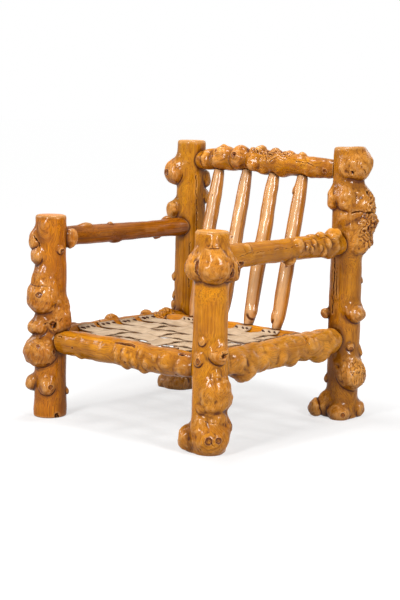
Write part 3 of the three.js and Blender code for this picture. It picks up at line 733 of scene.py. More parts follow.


# Varnished pine: streaks along the grain, mottled burls, amber creases and dark knots, and
# painted shade and highlights
def makePine(name, tones):
    look = {**pine, **tones}
    shade, scale, paint = Shader(bpy.data.materials.new(name)), pineScales, paintOf(look)
    grain = shade.attribute("grain", "Vector")
    burl, sawn, joint = (shade.attribute(key) for key in ("burl", "sawn", "joint"))
    hollow, shelter, seam = (shade.attribute(key) for key in ("hollow", "shelter", "seam"))
    knot, ringed, crack = (shade.attribute(key) for key in ("knot", "ringed", "crack"))

    bands = shade.noise(grain, scale["bands"], detail=3, roughness=0.55)
    lines = shade.noise(grain, scale["lines"], distortion=0.1)
    hairs = shade.noise(grain, scale["hairs"])
    patches = shade.noise(grain, scale["patches"])
    body = shade.mix(shade.ramp(bands, (0.34, 0), (0.64, 1)), paint["middle"], paint["light"])

    # The burls: a soft tint, creases, darker and paler fleece, and freckles in clumps
    swirl = shade.noise(grain, scale["swirl"], detail=3, roughness=0.6, distortion=1.4)
    fleece = shade.noise(grain, scale["fleece"], detail=3, roughness=0.65, distortion=0.6)
    freckles = shade.ramp(shade.cells(grain, scale["freckles"]), (0.12, 1), (0.26, 0))
    clumps = shade.ramp(shade.noise(grain, scale["clumps"], detail=1), (0.5, 0), (0.62, 1))
    tint = shade.ramp(shade.noise(grain, scale["tint"], detail=3), (0.32, 0), (0.68, 1))
    growth = shade.coats(
        paint["burlDark"],
        (tint, paint["burlLight"]),
        (shade.ramp(abs(swirl - 0.5), (0, 1), (0.035, 0)) * 0.14, paint["amber"]),
        (shade.ramp(fleece, (0.54, 0), (0.7, 0.3)), paint["amber"]),
        (shade.ramp(fleece, (0.28, 0.3), (0.44, 0)), paint["worn"]),
        (freckles * clumps * 0.55, paint["amber"]),
    )

    # Streaks along the grain, and year rings on sawn ends
    streaks = look["streaks"]
    drawn = shade.ramp(lines, (0.54, 0), (0.62, 0.75 * streaks), (0.78, 0.3 * streaks))
    radius = shade.length(shade.stretch(grain, (0, 1, 1)))
    rings = shade.maths("SINE", radius * scale["rings"] + patches * 9) * 0.5 + 0.5
    ends = shade.mix(shade.ramp(rings, (0.1, 0), (0.9, 0.55)), paint["light"], paint["deep"])
    body = shade.coats(
        body,
        (shade.ramp(patches, (0.42, 0), (0.7, 0.55)), paint["deep"]),
        (burl * 0.75, growth),
        (drawn * (1 - 0.25 * burl), paint["deep"]),
        (shade.ramp(hairs, (0.5, 0), (0.72, 0.5 * streaks)), paint["amber"]),
        (sawn * 0.8, ends),
    )

    # A painted highlight down the front of a log, and painted shade on its back
    if look["sunned"]:
        facing = shade.attribute("facing")
        body = shade.coats(
            body,
            (shade.ramp(facing, (0.72, 0), (0.98, look["sunned"])), paint["worn"]),
            # painted shade on the back of the log
            (shade.ramp(0.5 - 0.5 * facing, (0.36, 0), (0.62, 0.4), (0.8, 0.25)), paint["amber"]),
        )

    # Painted shade where nearby wood closes a point in, in hollows, in burl seams and under overhangs,
    # and a painted highlight on ridges, which are also worn pale. Joints are stained dark. Knots have
    # a red heart, a dark rim, and ripples where they are ringed
    heart = shade.mix(shade.ramp(swirl, (0.4, 0), (0.6, 1)), paint["knotRed"], paint["burlDark"])
    around = knot + 0.5 * (swirl - 0.5)
    rim = shade.ramp(abs(around - 0.92) - 0.12 * ringed, (0.04, 0.9), (0.14, 0.6), (0.28, 0))
    ripples = shade.ramp(shade.maths("SINE", around * 15), (0.3, 0), (0.8, 0.4))
    split = shade.ramp(crack * (1 / skin["far"]) + 0.06 * (hairs - 0.5), (0.2, 1), (0.36, 0))
    body = shade.coats(
        body,
        # painted shade where nearby wood closes a point in
        (shade.ramp(shelter, (0.03, 0), (0.24, 0.5), (0.62, 1)), paint["shaded"]),
        # painted shade in hollows and creases
        (shade.ramp(hollow, (0.06, 0), (0.45, 0.5), (0.9, 0.95)), paint["amber"]),
        # painted highlight on ridges, which are also worn pale
        (shade.ramp(hollow * -1, (0.35, 0), (1, 0.24)), paint["worn"]),
        (shade.ramp(around, (0.5, 0.7), (0.8, 0.4), (1, 0)) * (1 - ringed), heart),
        (rim, paint["knotRim"]),
        (ripples * ringed, paint["knotRim"]),
        # painted shade in the seams between burls and under their overhangs
        (shade.ramp(seam, (0.15, 0), (0.6, 0.7), (0.95, 1)), paint["amber"]),
        (joint * 0.7, paint["amber"]),
        (split * 0.96, paint["knotDark"]),
    )

    fibres = shade.bump(hairs + 0.5 * lines, 0.0002, 0.5)
    grit = shade.noise(grain, scale["grit"], detail=3, roughness=0.65)
    return shade.finish({
        "Base Color": body,
        "Roughness": look["roughness"] + 0.12 * (patches - 0.5) + 0.3 * split,
        "Coat Weight": look["coat"] * (1 - split),
        "Coat Roughness": look["coatRoughness"],
        "Coat IOR": look["coatIor"],
        "Specular IOR Level": look["specular"],
        "Normal": shade.bump((0.35 * swirl + 0.8 * grit + 0.6 * fleece) * burl, 0.0013, 0.85, fibres),
    })


hide = {
    "pale": (206, 180, 148),
    "tan": (176, 148, 114),
    "edge": (122, 92, 66),
    "stain": (142, 118, 94),
    "roughness": 0.62,
}
hideScales = {"mottle": 30, "lines": (25, 260, 260), "pores": 900, "stains": 11}


# Undyed leather: a soft mottle, pores and faint stretch lines, darker at its cut edges
def makeLeather(name):
    shade, scale, paint = Shader(bpy.data.materials.new(name)), hideScales, paintOf(hide)
    place, edge = shade.attribute("place", "Vector"), shade.attribute("edge")
    mottle = shade.noise(place, scale["mottle"], detail=4, roughness=0.6)
    lines = shade.noise(place, scale["lines"], detail=3)
    pores = shade.ramp(shade.cells(place, scale["pores"]), (0, 0), (0.4, 1))
    stains = shade.noise(place, scale["stains"])
    body = shade.coats(
        paint["tan"],
        (shade.ramp(mottle, (0.35, 0), (0.65, 1)), paint["pale"]),
        (shade.ramp(lines, (0.5, 0), (0.7, 0.4)), paint["stain"]),
        (shade.ramp(stains, (0.55, 0), (0.75, 0.4)), paint["stain"]),
        (edge * 0.7, paint["edge"]),
    )
    return shade.finish({
        "Base Color": body,
        "Roughness": hide["roughness"] + 0.2 * (mottle - 0.5),
        "Normal": shade.bump(pores * 0.4 + lines * 0.6 + mottle * 0.5, 0.0005, 0.7),
    })


rust = {"dark": (52, 40, 36), "red": (104, 60, 40), "scale": 700, "metallic": 0.8, "roughness": 0.42}


def makeIron(name):
    shade, paint = Shader(bpy.data.materials.new(name)), paintOf(rust)
    place = shade.node("ShaderNodeTexCoord")["Object"]
    bloom = shade.noise(place, rust["scale"], detail=3)
    return shade.finish({
        "Base Color": shade.mix(shade.ramp(bloom, (0.4, 0), (0.7, 1)), paint["dark"], paint["red"]),
        "Metallic": rust["metallic"],
        "Roughness": rust["roughness"] + 0.25 * (bloom - 0.5),
        "Normal": shade.bump(bloom, 0.0002, 0.5),
    })


# The logs. An outline has rows of place, radius and sway. A burl has place, turn, out, wide, long,
# tail and melt, a knot place, turn, size, kind and stretch, a rough patch place, turn, reach and
# height, and a crack its width, as a multiple of the skin's, and its spots. Places run from the
# foot, the front or the left end, and turns are degrees from a post's front or a rail's top. Sizes
# are shares of the log's radius, but a melt, a patch's height and a swell are metres
post = {
    "radius": 0.048,
    "rim": 0.010,
    "outline": [
        [0, 1.02], [0.03, 1.05], [0.08, 1.0], [0.22, 0.98], [0.38, 1.0], [0.55, 0.97], [0.7, 0.98],
        [0.84, 0.95], [0.94, 0.97], [1, 0.96],
    ],
}
frontLeftPost = {
    **post,
    "burls": [
        [0.868, -42, 0.9, 0.54, 0.6, 1.3], [0.882, 148, 1.22, 0.46, 0.62, 1, 0.012],
        [0.795, -20, 0.86, 0.56, 0.5, 1.3], [0.662, 2, 0.72, 0.68, 0.7, 1.5, 0.018],
        [0.585, -2, 0.74, 1.02, 0.88, 1.5, 0.007], [0.452, -12, 0.84, 0.76, 0.56],
        [0.46, 98, 0.78, 0.74, 0.62, 3.0, 0.012], [0.325, -6, 0.82, 1.14, 0.95],
        [0.165, -50, 1.12, 0.54, 0.52], [0.153, 32, 0.88, 0.5, 0.5, 1.3],
        [0.83, 85, 0.9, 0.26, 0.28], [0.123, 131, 1.0, 0.2, 0.22],
        [0.93, 20, 0.76, 0.36, 0.66, 1, 0.016], [0.7, 205, 0.84, 0.46, 0.5],
        [0.36, 228, 0.8, 0.66, 0.6], [0.13, 196, 0.86, 0.5, 0.5],
    ],
    "knots": [
        [0.822, 88, 0.15, "hole"], [0.622, 19, 0.17, "rings"], [0.464, 54, 0.3, "star"],
        [0.158, 50, 0.15, "eye"], [0.335, 58, 0.1, "hole", 1.6], [0.37, 20, 0.12, "eye"],
        [0.27, 40, 0.12, "rings"], [0.7, 205, 0.16, "eye"], [0.36, 228, 0.24, "rings"],
    ],
    "cracks": [
        [1.2, [[0.905, -18], [0.885, -12], [0.875, -2], [0.85, 2]]],
        [0.8, [[0.49, 62], [0.464, 54], [0.43, 58]]],
        [0.8, [[0.464, 54], [0.475, 36], [0.47, 28]]],
        [0.6, [[0.464, 54], [0.485, 70], [0.505, 78]]],
        [2.2, [[0.0, 66], [0.016, 72], [0.0, 78]]],
    ],
    "tones": {"light": (222, 136, 12), "middle": (198, 112, 6), "deep": (140, 70, 3)},
}
frontRightPost = {
    **post,
    "burls": [
        [0.835, 50, 0.74, 1.04, 0.88, 1.35, 0.009], [0.828, -30, 0.84, 0.82, 0.72, 1.4, 0.009],
        [0.818, 122, 1.0, 0.76, 0.62, 1.5, 0.009], [0.83, 205, 0.72, 0.8, 0.7, 1.4],
        [0.42, -4, 0.9, 0.34, 0.34, 1.3], [0.448, 76, 0.86, 0.58, 0.56, 1.3],
        [0.3, 72, 0.72, 0.82, 0.62, 1, 0.018], [0.285, 40, 0.8, 0.42, 0.34, 1, 0.018],
        [0.262, 66, 0.7, 0.72, 0.5, 1, 0.018], [0.262, 100, 0.72, 0.6, 0.5, 1, 0.018],
        [0.225, 58, 0.8, 0.62, 0.46, 1.2, 0.018], [0.24, 122, 0.86, 0.5, 0.62, 1, 0.018],
        [0.205, 14, 0.9, 0.26, 0.26, 1, 0.012], [0.07, 50, 0.7, 1.04, 0.98, 1.2, 0.012],
        [0.123, 118, 0.86, 0.56, 0.62, 1, 0.012], [0.165, 80, 0.86, 0.42, 0.36, 1, 0.018],
        [0.056, -50, 1.2, 0.62, 0.66, 1.2, 0.016], [0.36, 62, 0.9, 0.27, 0.28, 1, 0.012],
        [0.935, 48, 0.9, 0.32, 0.62], [0.06, 215, 0.8, 0.6, 0.6], [0.6, 225, 0.84, 0.46, 0.52],
        [0.51, 12, 0.92, 0.22, 0.26],
    ],
    "knots": [
        [0.845, -37, 0.14, "eye", 1.8], [0.849, 4, 0.16, "eye", 2.5],
        [0.812, 91, 0.16, "hole", 1.8], [0.845, 112, 0.13, "hole", 3.4],
        [0.425, 2, 0.14, "eye", 1.3], [0.449, 78, 0.22, "star"], [0.078, 42, 0.19, "rings"],
        [0.081, 63, 0.165, "rings"], [0.131, 117, 0.17, "rings", 1.3], [0.06, 215, 0.2, "eye"],
        [0.6, 225, 0.18, "star"],
    ],
    "cracks": [
        [1.2, [[0.825, 4], [0.808, 9]]],
        [0.6, [[0.07, 16], [0.045, 20], [0.02, 23]]],
        [0.7, [[0.164, 32], [0.157, 42], [0.158, 54]]],
        [1.0, [[0.07, 50], [0.05, 52]]],
    ],
    "tones": {"light": (232, 152, 15), "middle": (212, 130, 8), "deep": (162, 90, 4)},
}
rearRightPost = {
    **post,
    "burls": [
        [0.932, 84, 0.76, 0.96, 0.9, 1, 0.009], [0.92, 36, 0.6, 0.66, 0.66, 1, 0.009],
        [0.797, -40, 0.88, 0.58, 0.46, 2.2, 0.010], [0.802, 28, 0.78, 0.6, 0.5, 2.2, 0.010],
        [0.792, 112, 0.84, 0.95, 0.96, 1, 0.014], [0.728, 124, 0.92, 1.06, 0.96, 1, 0.014],
        [0.668, 114, 0.78, 0.98, 0.95, 1, 0.014], [0.665, 62, 0.5, 0.76, 0.8, 1, 0.016],
        [0.75, 66, 0.46, 0.76, 0.8, 1, 0.016], [0.394, 84, 0.86, 0.72, 0.62],
        [0.385, -49, 1.2, 0.34, 0.34], [0.246, 131, 0.94, 0.34, 0.38],
        [0.168, 78, 0.78, 0.98, 1.02], [0.045, -49, 1.02, 0.66, 0.8],
        [0.034, -49, 1.62, 0.62, 0.62], [0.02, 26, 0.88, 0.7, 0.56], [0.03, 128, 1.05, 0.5, 0.52],
        [0.51, 131, 0.92, 0.22, 0.22], [0.27, 60, 0.92, 0.22, 0.22], [0.143, -49, 0.98, 0.26, 0.28],
        [0.3, 210, 0.82, 0.5, 0.5],
    ],
    "rough": [[0.70, 114, 1.55, 0.0048], [0.79, 114, 1.1, 0.0042], [0.168, 104, 0.9, 0.0020]],
    "knots": [
        [0.908, 43, 0.16, "star"], [0.725, 104, 0.24, "hole", 0.8], [0.708, 88, 0.13, "hole", 1.7],
        [0.66, 104, 0.16, "hole"], [0.614, 96, 0.14, "hole"], [0.84, 96, 0.14, "star", 1.2],
        [0.27, 60, 0.1, "eye"], [0.02, 40, 0.14, "eye"], [0.3, 210, 0.18, "star"],
    ],
    "cracks": [
        [1.3, [[0.6, -14], [0.54, -11], [0.479, -12], [0.42, -16], [0.39, -14]]],
        [0.8, [[0.56, 2], [0.5, 0], [0.45, 3]]],
        [1.1, [[0.766, 48], [0.768, 66], [0.764, 84], [0.766, 104]]],
        [0.9, [[0.93, 66], [0.915, 74], [0.9, 84]]],
        [0.7, [[0.22, 60], [0.19, 75], [0.15, 84]]],
        [0.7, [[0.21, 70], [0.19, 88], [0.17, 100]]],
        [0.6, [[0.2, 52], [0.17, 60], [0.14, 62]]],
    ],
    "tones": {"light": (208, 134, 15), "middle": (184, 112, 9), "deep": (132, 72, 4)},
}
rearLeftPost = {
    **post,
    "burls": [
        [0.872, -50, 1.02, 0.92, 0.88], [0.722, -49, 1.12, 0.6, 0.66],
        [0.845, 131, 0.98, 0.44, 0.56], [0.775, 128, 0.92, 0.42, 0.5],
        [0.335, -49, 1.0, 0.34, 0.36], [0.04, -49, 1.05, 0.62, 0.66, 1, 0.018],
        [0.02, -49, 1.62, 0.6, 0.56, 1, 0.018], [0.02, -16, 1.3, 0.6, 0.5, 1, 0.018],
        [0.02, 14, 1.1, 0.6, 0.5, 1, 0.018], [0.02, 120, 0.9, 0.5, 0.5],
        [0.448, -49, 1.0, 0.28, 0.28], [0.375, -49, 1.0, 0.24, 0.26], [0.56, 205, 0.84, 0.5, 0.5],
        [0.24, 215, 0.82, 0.6, 0.58],
    ],
    "knots": [[0.873, -30, 0.2, "rings"], [0.56, 205, 0.2, "star"], [0.24, 215, 0.22, "eye"]],
    "cracks": [
        [0.5, [[0.86, -24], [0.873, -28], [0.89, -32]]],
        [0.9, [[0.86, 62], [0.72, 66], [0.58, 64]]],
        [0.7, [[0.6, 40], [0.5, 42], [0.42, 40]]],
    ],
    "tones": {"light": (216, 144, 16), "middle": (196, 122, 10), "deep": (140, 80, 5)},
}
rail = {"blend": (0.45, 0.55), "melt": 0.012}
frontRail = {
    **rail,
    "radius": 0.038,
    "outline": [
        [0, 0.72], [0.05, 0.86], [0.13, 0.96], [0.3, 0.97, 0.03], [0.45, 1.0, 0.03],
        [0.55, 1.04, 0], [0.68, 1.0, -0.03], [0.8, 1.04, -0.03], [0.9, 0.98], [0.96, 0.86],
        [1, 0.76],
    ],
    "burls": [
        [0.5, 92, 0.56, 0.66, 0.44, 1, 0.018], [0.545, 76, 0.73, 0.4, 0.3, 1, 0.018],
        [0.56, 100, 0.7, 0.44, 0.36, 1, 0.018], [0.592, 84, 0.76, 0.3, 0.24, 1, 0.018],
        [0.612, 118, 0.78, 0.5, 0.36, 1, 0.018], [0.648, 66, 0.72, 0.4, 0.32, 1, 0.018],
        [0.53, 150, 0.8, 0.5, 0.42], [0.83, 80, 0.64, 0.6, 0.8, 1, 0.018],
        [0.2, 150, 0.8, 0.34, 0.4], [0.38, 220, 0.8, 0.4, 0.5],
        [0.745, 72, 0.86, 0.26, 0.24, 1, 0.014], [0.69, 112, 0.82, 0.38, 0.34],
        [0.785, 92, 0.86, 0.27, 0.24, 1, 0.014], [0.825, 62, 0.86, 0.24, 0.22, 1, 0.014],
        [0.77, 122, 0.82, 0.34, 0.34], [0.92, 104, 0.68, 0.56, 0.7, 1, 0.018],
        [0.645, 150, 0.84, 0.4, 0.4],
    ],
    "knots": [
        [0.743, 118, 0.1, "hole", 1.4], [0.875, 138, 0.1, "hole", 1.6],
        [0.905, 36, 0.14, "hole", 2.2], [0.182, 94, 0.09, "hole"], [0.54, 36, 0.13, "hole", 8],
        [0.555, 112, 0.1, "hole"], [0.375, 44, 0.07, "eye"],
    ],
    "cracks": [[1.0, [[0.06, 50], [0.09, 54]]], [0.7, [[0.48, 30], [0.55, 36], [0.63, 38]]]],
    "lumpy": 0.6,
    "swell": 0.003,
    "tones": {"light": (218, 142, 22), "middle": (196, 120, 14), "deep": (136, 74, 6), "streaks": 0.85},
}
leftRail = {
    **rail,
    "radius": 0.037,
    "outline": [
        [0, 0.74], [0.06, 0.88], [0.15, 0.98], [0.3, 1.0], [0.5, 0.97], [0.68, 1.02], [0.82, 1.0],
        [0.93, 0.92], [1, 0.78],
    ],
    "burls": [
        [0.15, -30, 0.84, 0.36, 0.5], [0.426, -16, 0.86, 0.62, 0.62, 1, 0.014],
        [0.69, -14, 0.94, 0.52, 0.44, 1, 0.014], [0.86, -20, 0.78, 0.5, 0.8],
        [0.3, 200, 0.78, 0.5, 0.6], [0.55, 180, 0.72, 0.5, 0.7],
    ],
    "lumpy": 0.5,
    "swell": 0.003,
    "rough": [[0.79, 20, 1.6, 0.0024], [0.3, 20, 1.2, 0.0016]],
    "knots": [[0.7, -8, 0.13, "hole"], [0.3, 262, 0.2, "eye"], [0.62, 250, 0.16, "star"]],
    "tones": {"light": (216, 140, 15), "middle": (194, 116, 8), "deep": (138, 72, 4)},
}
rightRail = {
    **rail,
    "radius": 0.041,
    "outline": [
        [0, 0.76], [0.06, 0.9], [0.15, 0.98, -0.06], [0.25, 1.04, -0.12], [0.36, 0.96, -0.02],
        [0.5, 0.98, 0.02], [0.64, 0.97, 0.06], [0.78, 1.04, 0.0], [0.87, 1.02, 0.04],
        [0.92, 0.94, 0.08], [0.95, 0.78, 0.12], [0.975, 0.54, 0.14], [1, 0.44, 0.14],
    ],
    "burls": [
        [0.18, 150, 0.72, 0.82, 0.8], [0.3, 120, 0.66, 0.6, 0.6], [0.44, 112, 0.7, 0.56, 0.5],
        [0.56, 156, 0.66, 0.6, 0.56], [0.68, 70, 0.66, 0.56, 0.6], [0.8, 158, 0.66, 0.76, 0.7],
        [0.86, 60, 0.6, 0.66, 0.56], [0.12, 100, 0.66, 0.6, 0.5],
    ],
    "lumpy": 0.9,
    "swell": 0.0065,
    "knots": [[0.43, 150, 0.14, "eye"], [0.82, 150, 0.16, "eye"]],
    "cracks": [[0.4, [[0.645, 40], [0.63, 56], [0.645, 72]]]],
    "tones": {"light": (234, 158, 46), "middle": (210, 132, 28), "deep": (142, 84, 12), "streaks": 0.6},
}
rearRail = {
    **rail,
    "radius": 0.032,
    "outline": [
        [0, 0.78], [0.07, 0.94], [0.25, 1.0], [0.5, 1.02], [0.75, 0.98], [0.93, 0.94], [1, 0.8],
    ],
    "burls": [[0.3, 220, 0.78, 0.42, 0.5], [0.72, 190, 0.78, 0.44, 0.6]],
    "knots": [[0.5, 250, 0.16, "eye"]],
    "tones": {"light": (214, 138, 15), "middle": (194, 116, 9), "deep": (138, 74, 4)},
}
leftArm = {
    **rail,
    "radius": 0.028,
    "outline": [
        [0, 0.82], [0.06, 1.0], [0.2, 1.02], [0.4, 0.98], [0.6, 0.96], [0.78, 1.0], [0.9, 1.1],
        [1, 1.0],
    ],
    "burls": [
        [0.2, 8, 0.82, 0.52, 1.0], [0.39, 0, 0.9, 0.34, 0.34], [0.86, -25, 0.95, 0.56, 0.6],
        [0.42, 172, 0.8, 0.44, 0.9], [0.76, 180, 0.88, 0.38, 0.5],
    ],
    "knots": [[0.86, -8, 0.2, "rings"], [0.45, 250, 0.18, "eye"]],
    "tones": {"light": (166, 96, 8), "middle": (140, 76, 5), "deep": (98, 48, 2)},
}
rightArm = {
    **rail,
    "radius": 0.033,
    "outline": [
        [0, 0.84], [0.08, 1.0], [0.22, 0.98, -0.02], [0.4, 0.94], [0.55, 0.96], [0.7, 1.02],
        [0.85, 1.1, 0.04], [0.94, 1.06, 0.06], [1, 0.9],
    ],
    "burls": [
        [0.17, 48, 0.8, 0.4, 0.4, 1, 0.016], [0.13, 174, 0.86, 0.46, 0.6],
        [0.53, 160, 0.98, 0.54, 0.54], [0.57, 56, 0.76, 0.6, 0.6, 1, 0.018],
        [0.565, 92, 0.8, 0.3, 0.3, 1, 0.016], [0.62, 78, 0.9, 0.32, 0.26, 1, 0.010],
        [0.66, 96, 0.92, 0.34, 0.28, 1, 0.010], [0.69, 64, 0.9, 0.4, 0.34, 1, 0.010],
        [0.735, 92, 0.92, 0.32, 0.3, 1, 0.010], [0.77, 118, 0.9, 0.46, 0.38, 1, 0.012],
        [0.72, 6, 0.84, 0.46, 0.5], [0.8, 74, 0.86, 0.56, 0.4], [0.79, 14, 0.86, 0.5, 0.44],
        [0.86, 44, 0.8, 0.6, 0.56], [0.9, 8, 0.86, 0.8, 0.8], [0.87, 96, 0.8, 0.56, 0.6],
        [0.86, 150, 0.7, 0.7, 0.8],
    ],
    "knots": [[0.104, 128, 0.26, "hole", 1.7]],
    "cracks": [
        [0.5, [[0.1, 85], [0.27, 72], [0.37, 69], [0.55, 67]]],
        [0.7, [[0.757, 38], [0.8, 46], [0.843, 54]]],
    ],
    "lumpy": 0.4,
    "tones": {"light": (214, 140, 20), "middle": (192, 118, 12), "deep": (132, 72, 5), "streaks": 0.6},
}
crestRail = {
    **rail,
    "radius": 0.036,
    "outline": [
        [0, 0.72, -0.2], [0.06, 0.86, -0.15], [0.16, 0.98], [0.3, 0.92, 0.04], [0.44, 0.9, 0.06],
        [0.56, 1.0, -0.08], [0.68, 0.98, -0.14], [0.8, 0.88, -0.26], [0.92, 0.82, -0.32],
        [1, 0.78, -0.32],
    ],
    "burls": [
        [0.1, 88, 0.5, 0.76, 0.54, 1, 0.003], [0.2, 52, 0.44, 1.06, 0.84, 1, 0.003],
        [0.33, 60, 0.44, 1.08, 0.78, 1, 0.003], [0.405, 4, 0.86, 0.4, 0.38],
        [0.462, 8, 0.9, 0.46, 0.48], [0.56, 8, 0.9, 0.5, 0.52], [0.65, 2, 0.84, 0.48, 0.5],
        [0.74, 0, 0.84, 0.34, 0.3], [0.8, 66, 0.5, 0.5, 0.9], [0.86, 120, 0.5, 0.5, 0.7],
        [0.6, 84, 0.5, 0.6, 0.9], [0.5, 158, 0.7, 0.56, 0.7], [0.44, 110, 0.66, 0.66, 0.6],
        [0.62, 150, 0.6, 0.6, 0.7], [0.93, 84, 0.36, 0.5, 0.5], [0.28, 262, 0.7, 0.5, 0.6],
        [0.62, 270, 0.72, 0.56, 0.6],
    ],
    "knots": [
        [0.335, 70, 0.22, "hole"], [0.195, 58, 0.14, "eye"], [0.917, 105, 0.2, "eye"],
        [0.62, 270, 0.2, "star"],
    ],
    "cracks": [
        [0.9, [[0.43, 42], [0.452, 34], [0.48, 46], [0.521, 38], [0.56, 50], [0.64, 40]]],
        [0.7, [[0.72, 60], [0.8, 66], [0.88, 84]]],
    ],
    "rough": [[0.46, 30, 1.2, 0.0016], [0.56, 36, 1.3, 0.002], [0.65, 30, 1.1, 0.0014]],
    "lumpy": 0.6,
    "swell": 0.005,
    "tones": {"light": (212, 138, 16), "middle": (188, 112, 9), "deep": (128, 68, 4)},
}
spindle = {
    "radius": 0.022,
    "outline": [
        [0, 0.6], [0.05, 0.72], [0.1, 0.94], [0.2, 1.0], [0.45, 1.02], [0.7, 0.98], [0.88, 0.92],
        [0.95, 0.78], [1, 0.62],
    ],
    "places": [0.203, 0.385, 0.56, 0.736],  # across, from the left post's axis
    "burls": [
        [[0.62, 200, 0.8, 0.3, 0.4]],
        [[0.3, 120, 0.82, 0.3, 0.4]],
        [[0.1, 60, 0.42, 0.74, 1.0], [0.52, -40, 0.8, 0.34, 0.5]],
        [[0.09, -70, 0.42, 0.74, 1.0], [0.86, -70, 0.7, 0.5, 0.7]],
    ],
    "knots": [
        [[0.8, 20, 0.12, "eye"]], [[0.55, 10, 0.14, "hole"]],
        [[0.52, -40, 0.2, "eye"]], [[0.4, 30, 0.16, "eye"]],
    ],
    "tones": {
        "light": (214, 140, 46), "middle": (192, 118, 28), "deep": (138, 76, 10),
        "worn": (244, 204, 154), "coat": 0.22, "sunned": 0.42,
    },
}


heights = {key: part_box("post_" + key)[1].z for key in feet}
postLooks = {
    "front_left": frontLeftPost,
    "front_right": frontRightPost,
    "rear_left": rearLeftPost,
    "rear_right": rearRightPost,
}
posts = {
    key: makeLog(feet[key], feet[key] + upward * heights[key], forward, look)
    for key, look in postLooks.items()
}


# A log between two hosts, scribed to them and to whatever else it passes
def heldLog(hosts, start, end, zero, look, past=()):
    inset = tuple(host["radius"] * chair["bodyInset"] for host in hosts)
    log = makeLog(start, end, zero, look, inset=inset)
    log["cuts"] = [(0, hosts[0]), (log["length"], hosts[1])] + [(0, other) for other in past]
    return log


def postRail(one, other, height, look, past=()):
    ends = [Vector((*feet[key].xy, height)) for key in (one, other)]
    return heldLog([posts[one], posts[other]], *ends, upward, look, past)


seat, drop = chair["seatHeight"], chair["railDrop"]
armHeight = {side: heights["front_" + side] - chair["armDrop"][side] for side in ("left", "right")}
crestHeight = heights["rear_left"] - chair["crestDrop"]
left, right = feet["rear_left"].x, feet["rear_right"].x
across = right - left
rearY = feet["rear_left"].y - chair["rearRailSetback"]
rearHeight = seat - drop["rear"]
logs = {"post_" + key: log for key, log in posts.items()}
logs["seat_rail_front"] = postRail("front_left", "front_right", seat - drop["front"], frontRail)
past = [logs["seat_rail_front"]]
logs["seat_rail_left"] = postRail("front_left", "rear_left", seat - drop["left"], leftRail, past)
logs["seat_rail_right"] = postRail("front_right", "rear_right", seat - drop["right"], rightRail, past)
logs["arm_rail_left"] = postRail("front_left", "rear_left", armHeight["left"], leftArm)
logs["arm_rail_right"] = postRail("front_right", "rear_right", armHeight["right"], rightArm)
logs["crest_rail"] = postRail("rear_left", "rear_right", crestHeight, crestRail)
sides = [logs["seat_rail_left"], logs["seat_rail_right"]]
rearEnds = [Vector((x, rearY, rearHeight)) for x in (left, right)]
logs["seat_rail_rear"] = heldLog(sides, *rearEnds, upward, rearRail)
hosts = [logs["seat_rail_rear"], logs["crest_rail"]]
for i, place in enumerate(spindle["places"]):
    x = left + place * across
    foot, head = Vector((x, rearY, rearHeight)), Vector((x, feet["rear_left"].y, crestHeight))
    look = {**spindle, "burls": spindle["burls"][i], "knots": spindle["knots"][i]}
    logs["back_spindle_" + str(i + 1)] = heldLog(hosts, foot, head, forward, look)
for log in logs.values():
    for _, other in log["cuts"]:
        log["neighbours"].append(other)
        other["neighbours"].append(log)


# The entry of a table that a piece's name starts with
def valueFor(name, table, otherwise):
    return next((value for key, value in table.items() if name.startswith(key)), otherwise)


slots = {"post": "post_pine", "back": "spindle_pine"}
surfaces = {}
for number, (name, log) in enumerate(logs.items()):
    points, quads = logSurface(log, valueFor(name, chair["gridSteps"], chair["otherStep"]))
    points, attributes = dressLog(log, points, quads, number * 40 + 7)
    points = toWorld(log, points)
    piece = addMesh(name + "_log", points, quads, makePine(name + "_pine", log["tones"]), attributes)
    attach(piece, "root")
    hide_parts(name)
    valueFor(name, slots, "rail_pine")
    surfaces[name] = (points, quads)
    print("log", name, len(quads), "faces")

weave = {
    "thickness": 0.0026,
    "lengthwise": [0.215, 0.392, 0.565, 0.734],  # places from the left rail to the right rail
    "crosswise": [0.258, 0.434, 0.62, 0.797],  # places from the front rail to the rear rail
    "slit": {"lengthwise": 0.047, "crosswise": 0.022},
    "bulge": {"lengthwise": 0.002, "crosswise": 0.0062},  # a strip is this much wider at its crossings
    "bulgeReach": (0.052, 0.016),
    "cup": 0.0034,  # how far a strip's edges curl up where it crosses over another
    "cupReach": (0.029, 0.002),
    "flapTop": 62,  # where a strip's end starts and leaves on the rail, in degrees above level
    "flapLeave": 48,
    "ragged": 0.0016,
    "raggedSize": 0.045,
    "drift": 0.0022,
    "driftSize": 0.16,
    "slant": 0.003,  # how far out of square the cut ends are
    "ripple": 0.0006,
    "rippleSize": 0.05,
    "darkEdge": 0.005,
    "rimRound": 0.0008,
    "step": 0.0042,
    "columns": 17,
}


# How far each strip spans, and its width: the spacing of its own kind, less the slit between them
span = {"lengthwise": rearY - feet["front_left"].y, "crosswise": across}
others = {"lengthwise": "crosswise", "crosswise": "lengthwise"}
stripWidth = {}
for way, other in others.items():
    places = weave[way]
    spacing = (places[-1] - places[0]) * span[other] / (len(places) - 1)
    stripWidth[way] = spacing - weave["slit"][way]


# A strip's end in side view, inwards from the rail's axis: over its inner top and down to the weave
def flapLine(rail):
    radius = rail["radius"] * 1.02 + weave["thickness"] / 2
    axis = float(rail["start"][2]) - seat
    turns = np.radians(np.linspace(weave["flapTop"], weave["flapLeave"], 4))
    arc = np.stack([radius * np.cos(turns), axis + radius * np.sin(turns)], 1)
    run = arc[-1, 1] * math.tan(math.radians(weave["flapLeave"]))
    ends = [arc[-1], arc[-1] + [run, 0], arc[-1] + [2 * run, 0]]
    ends[1][1] = ends[2][1] = 0
    t = np.linspace(0, 1, 7)[1:, None]
    return np.vstack([arc, (1 - t) ** 2 * ends[0] + 2 * t * (1 - t) * ends[1] + t * t * ends[2]])


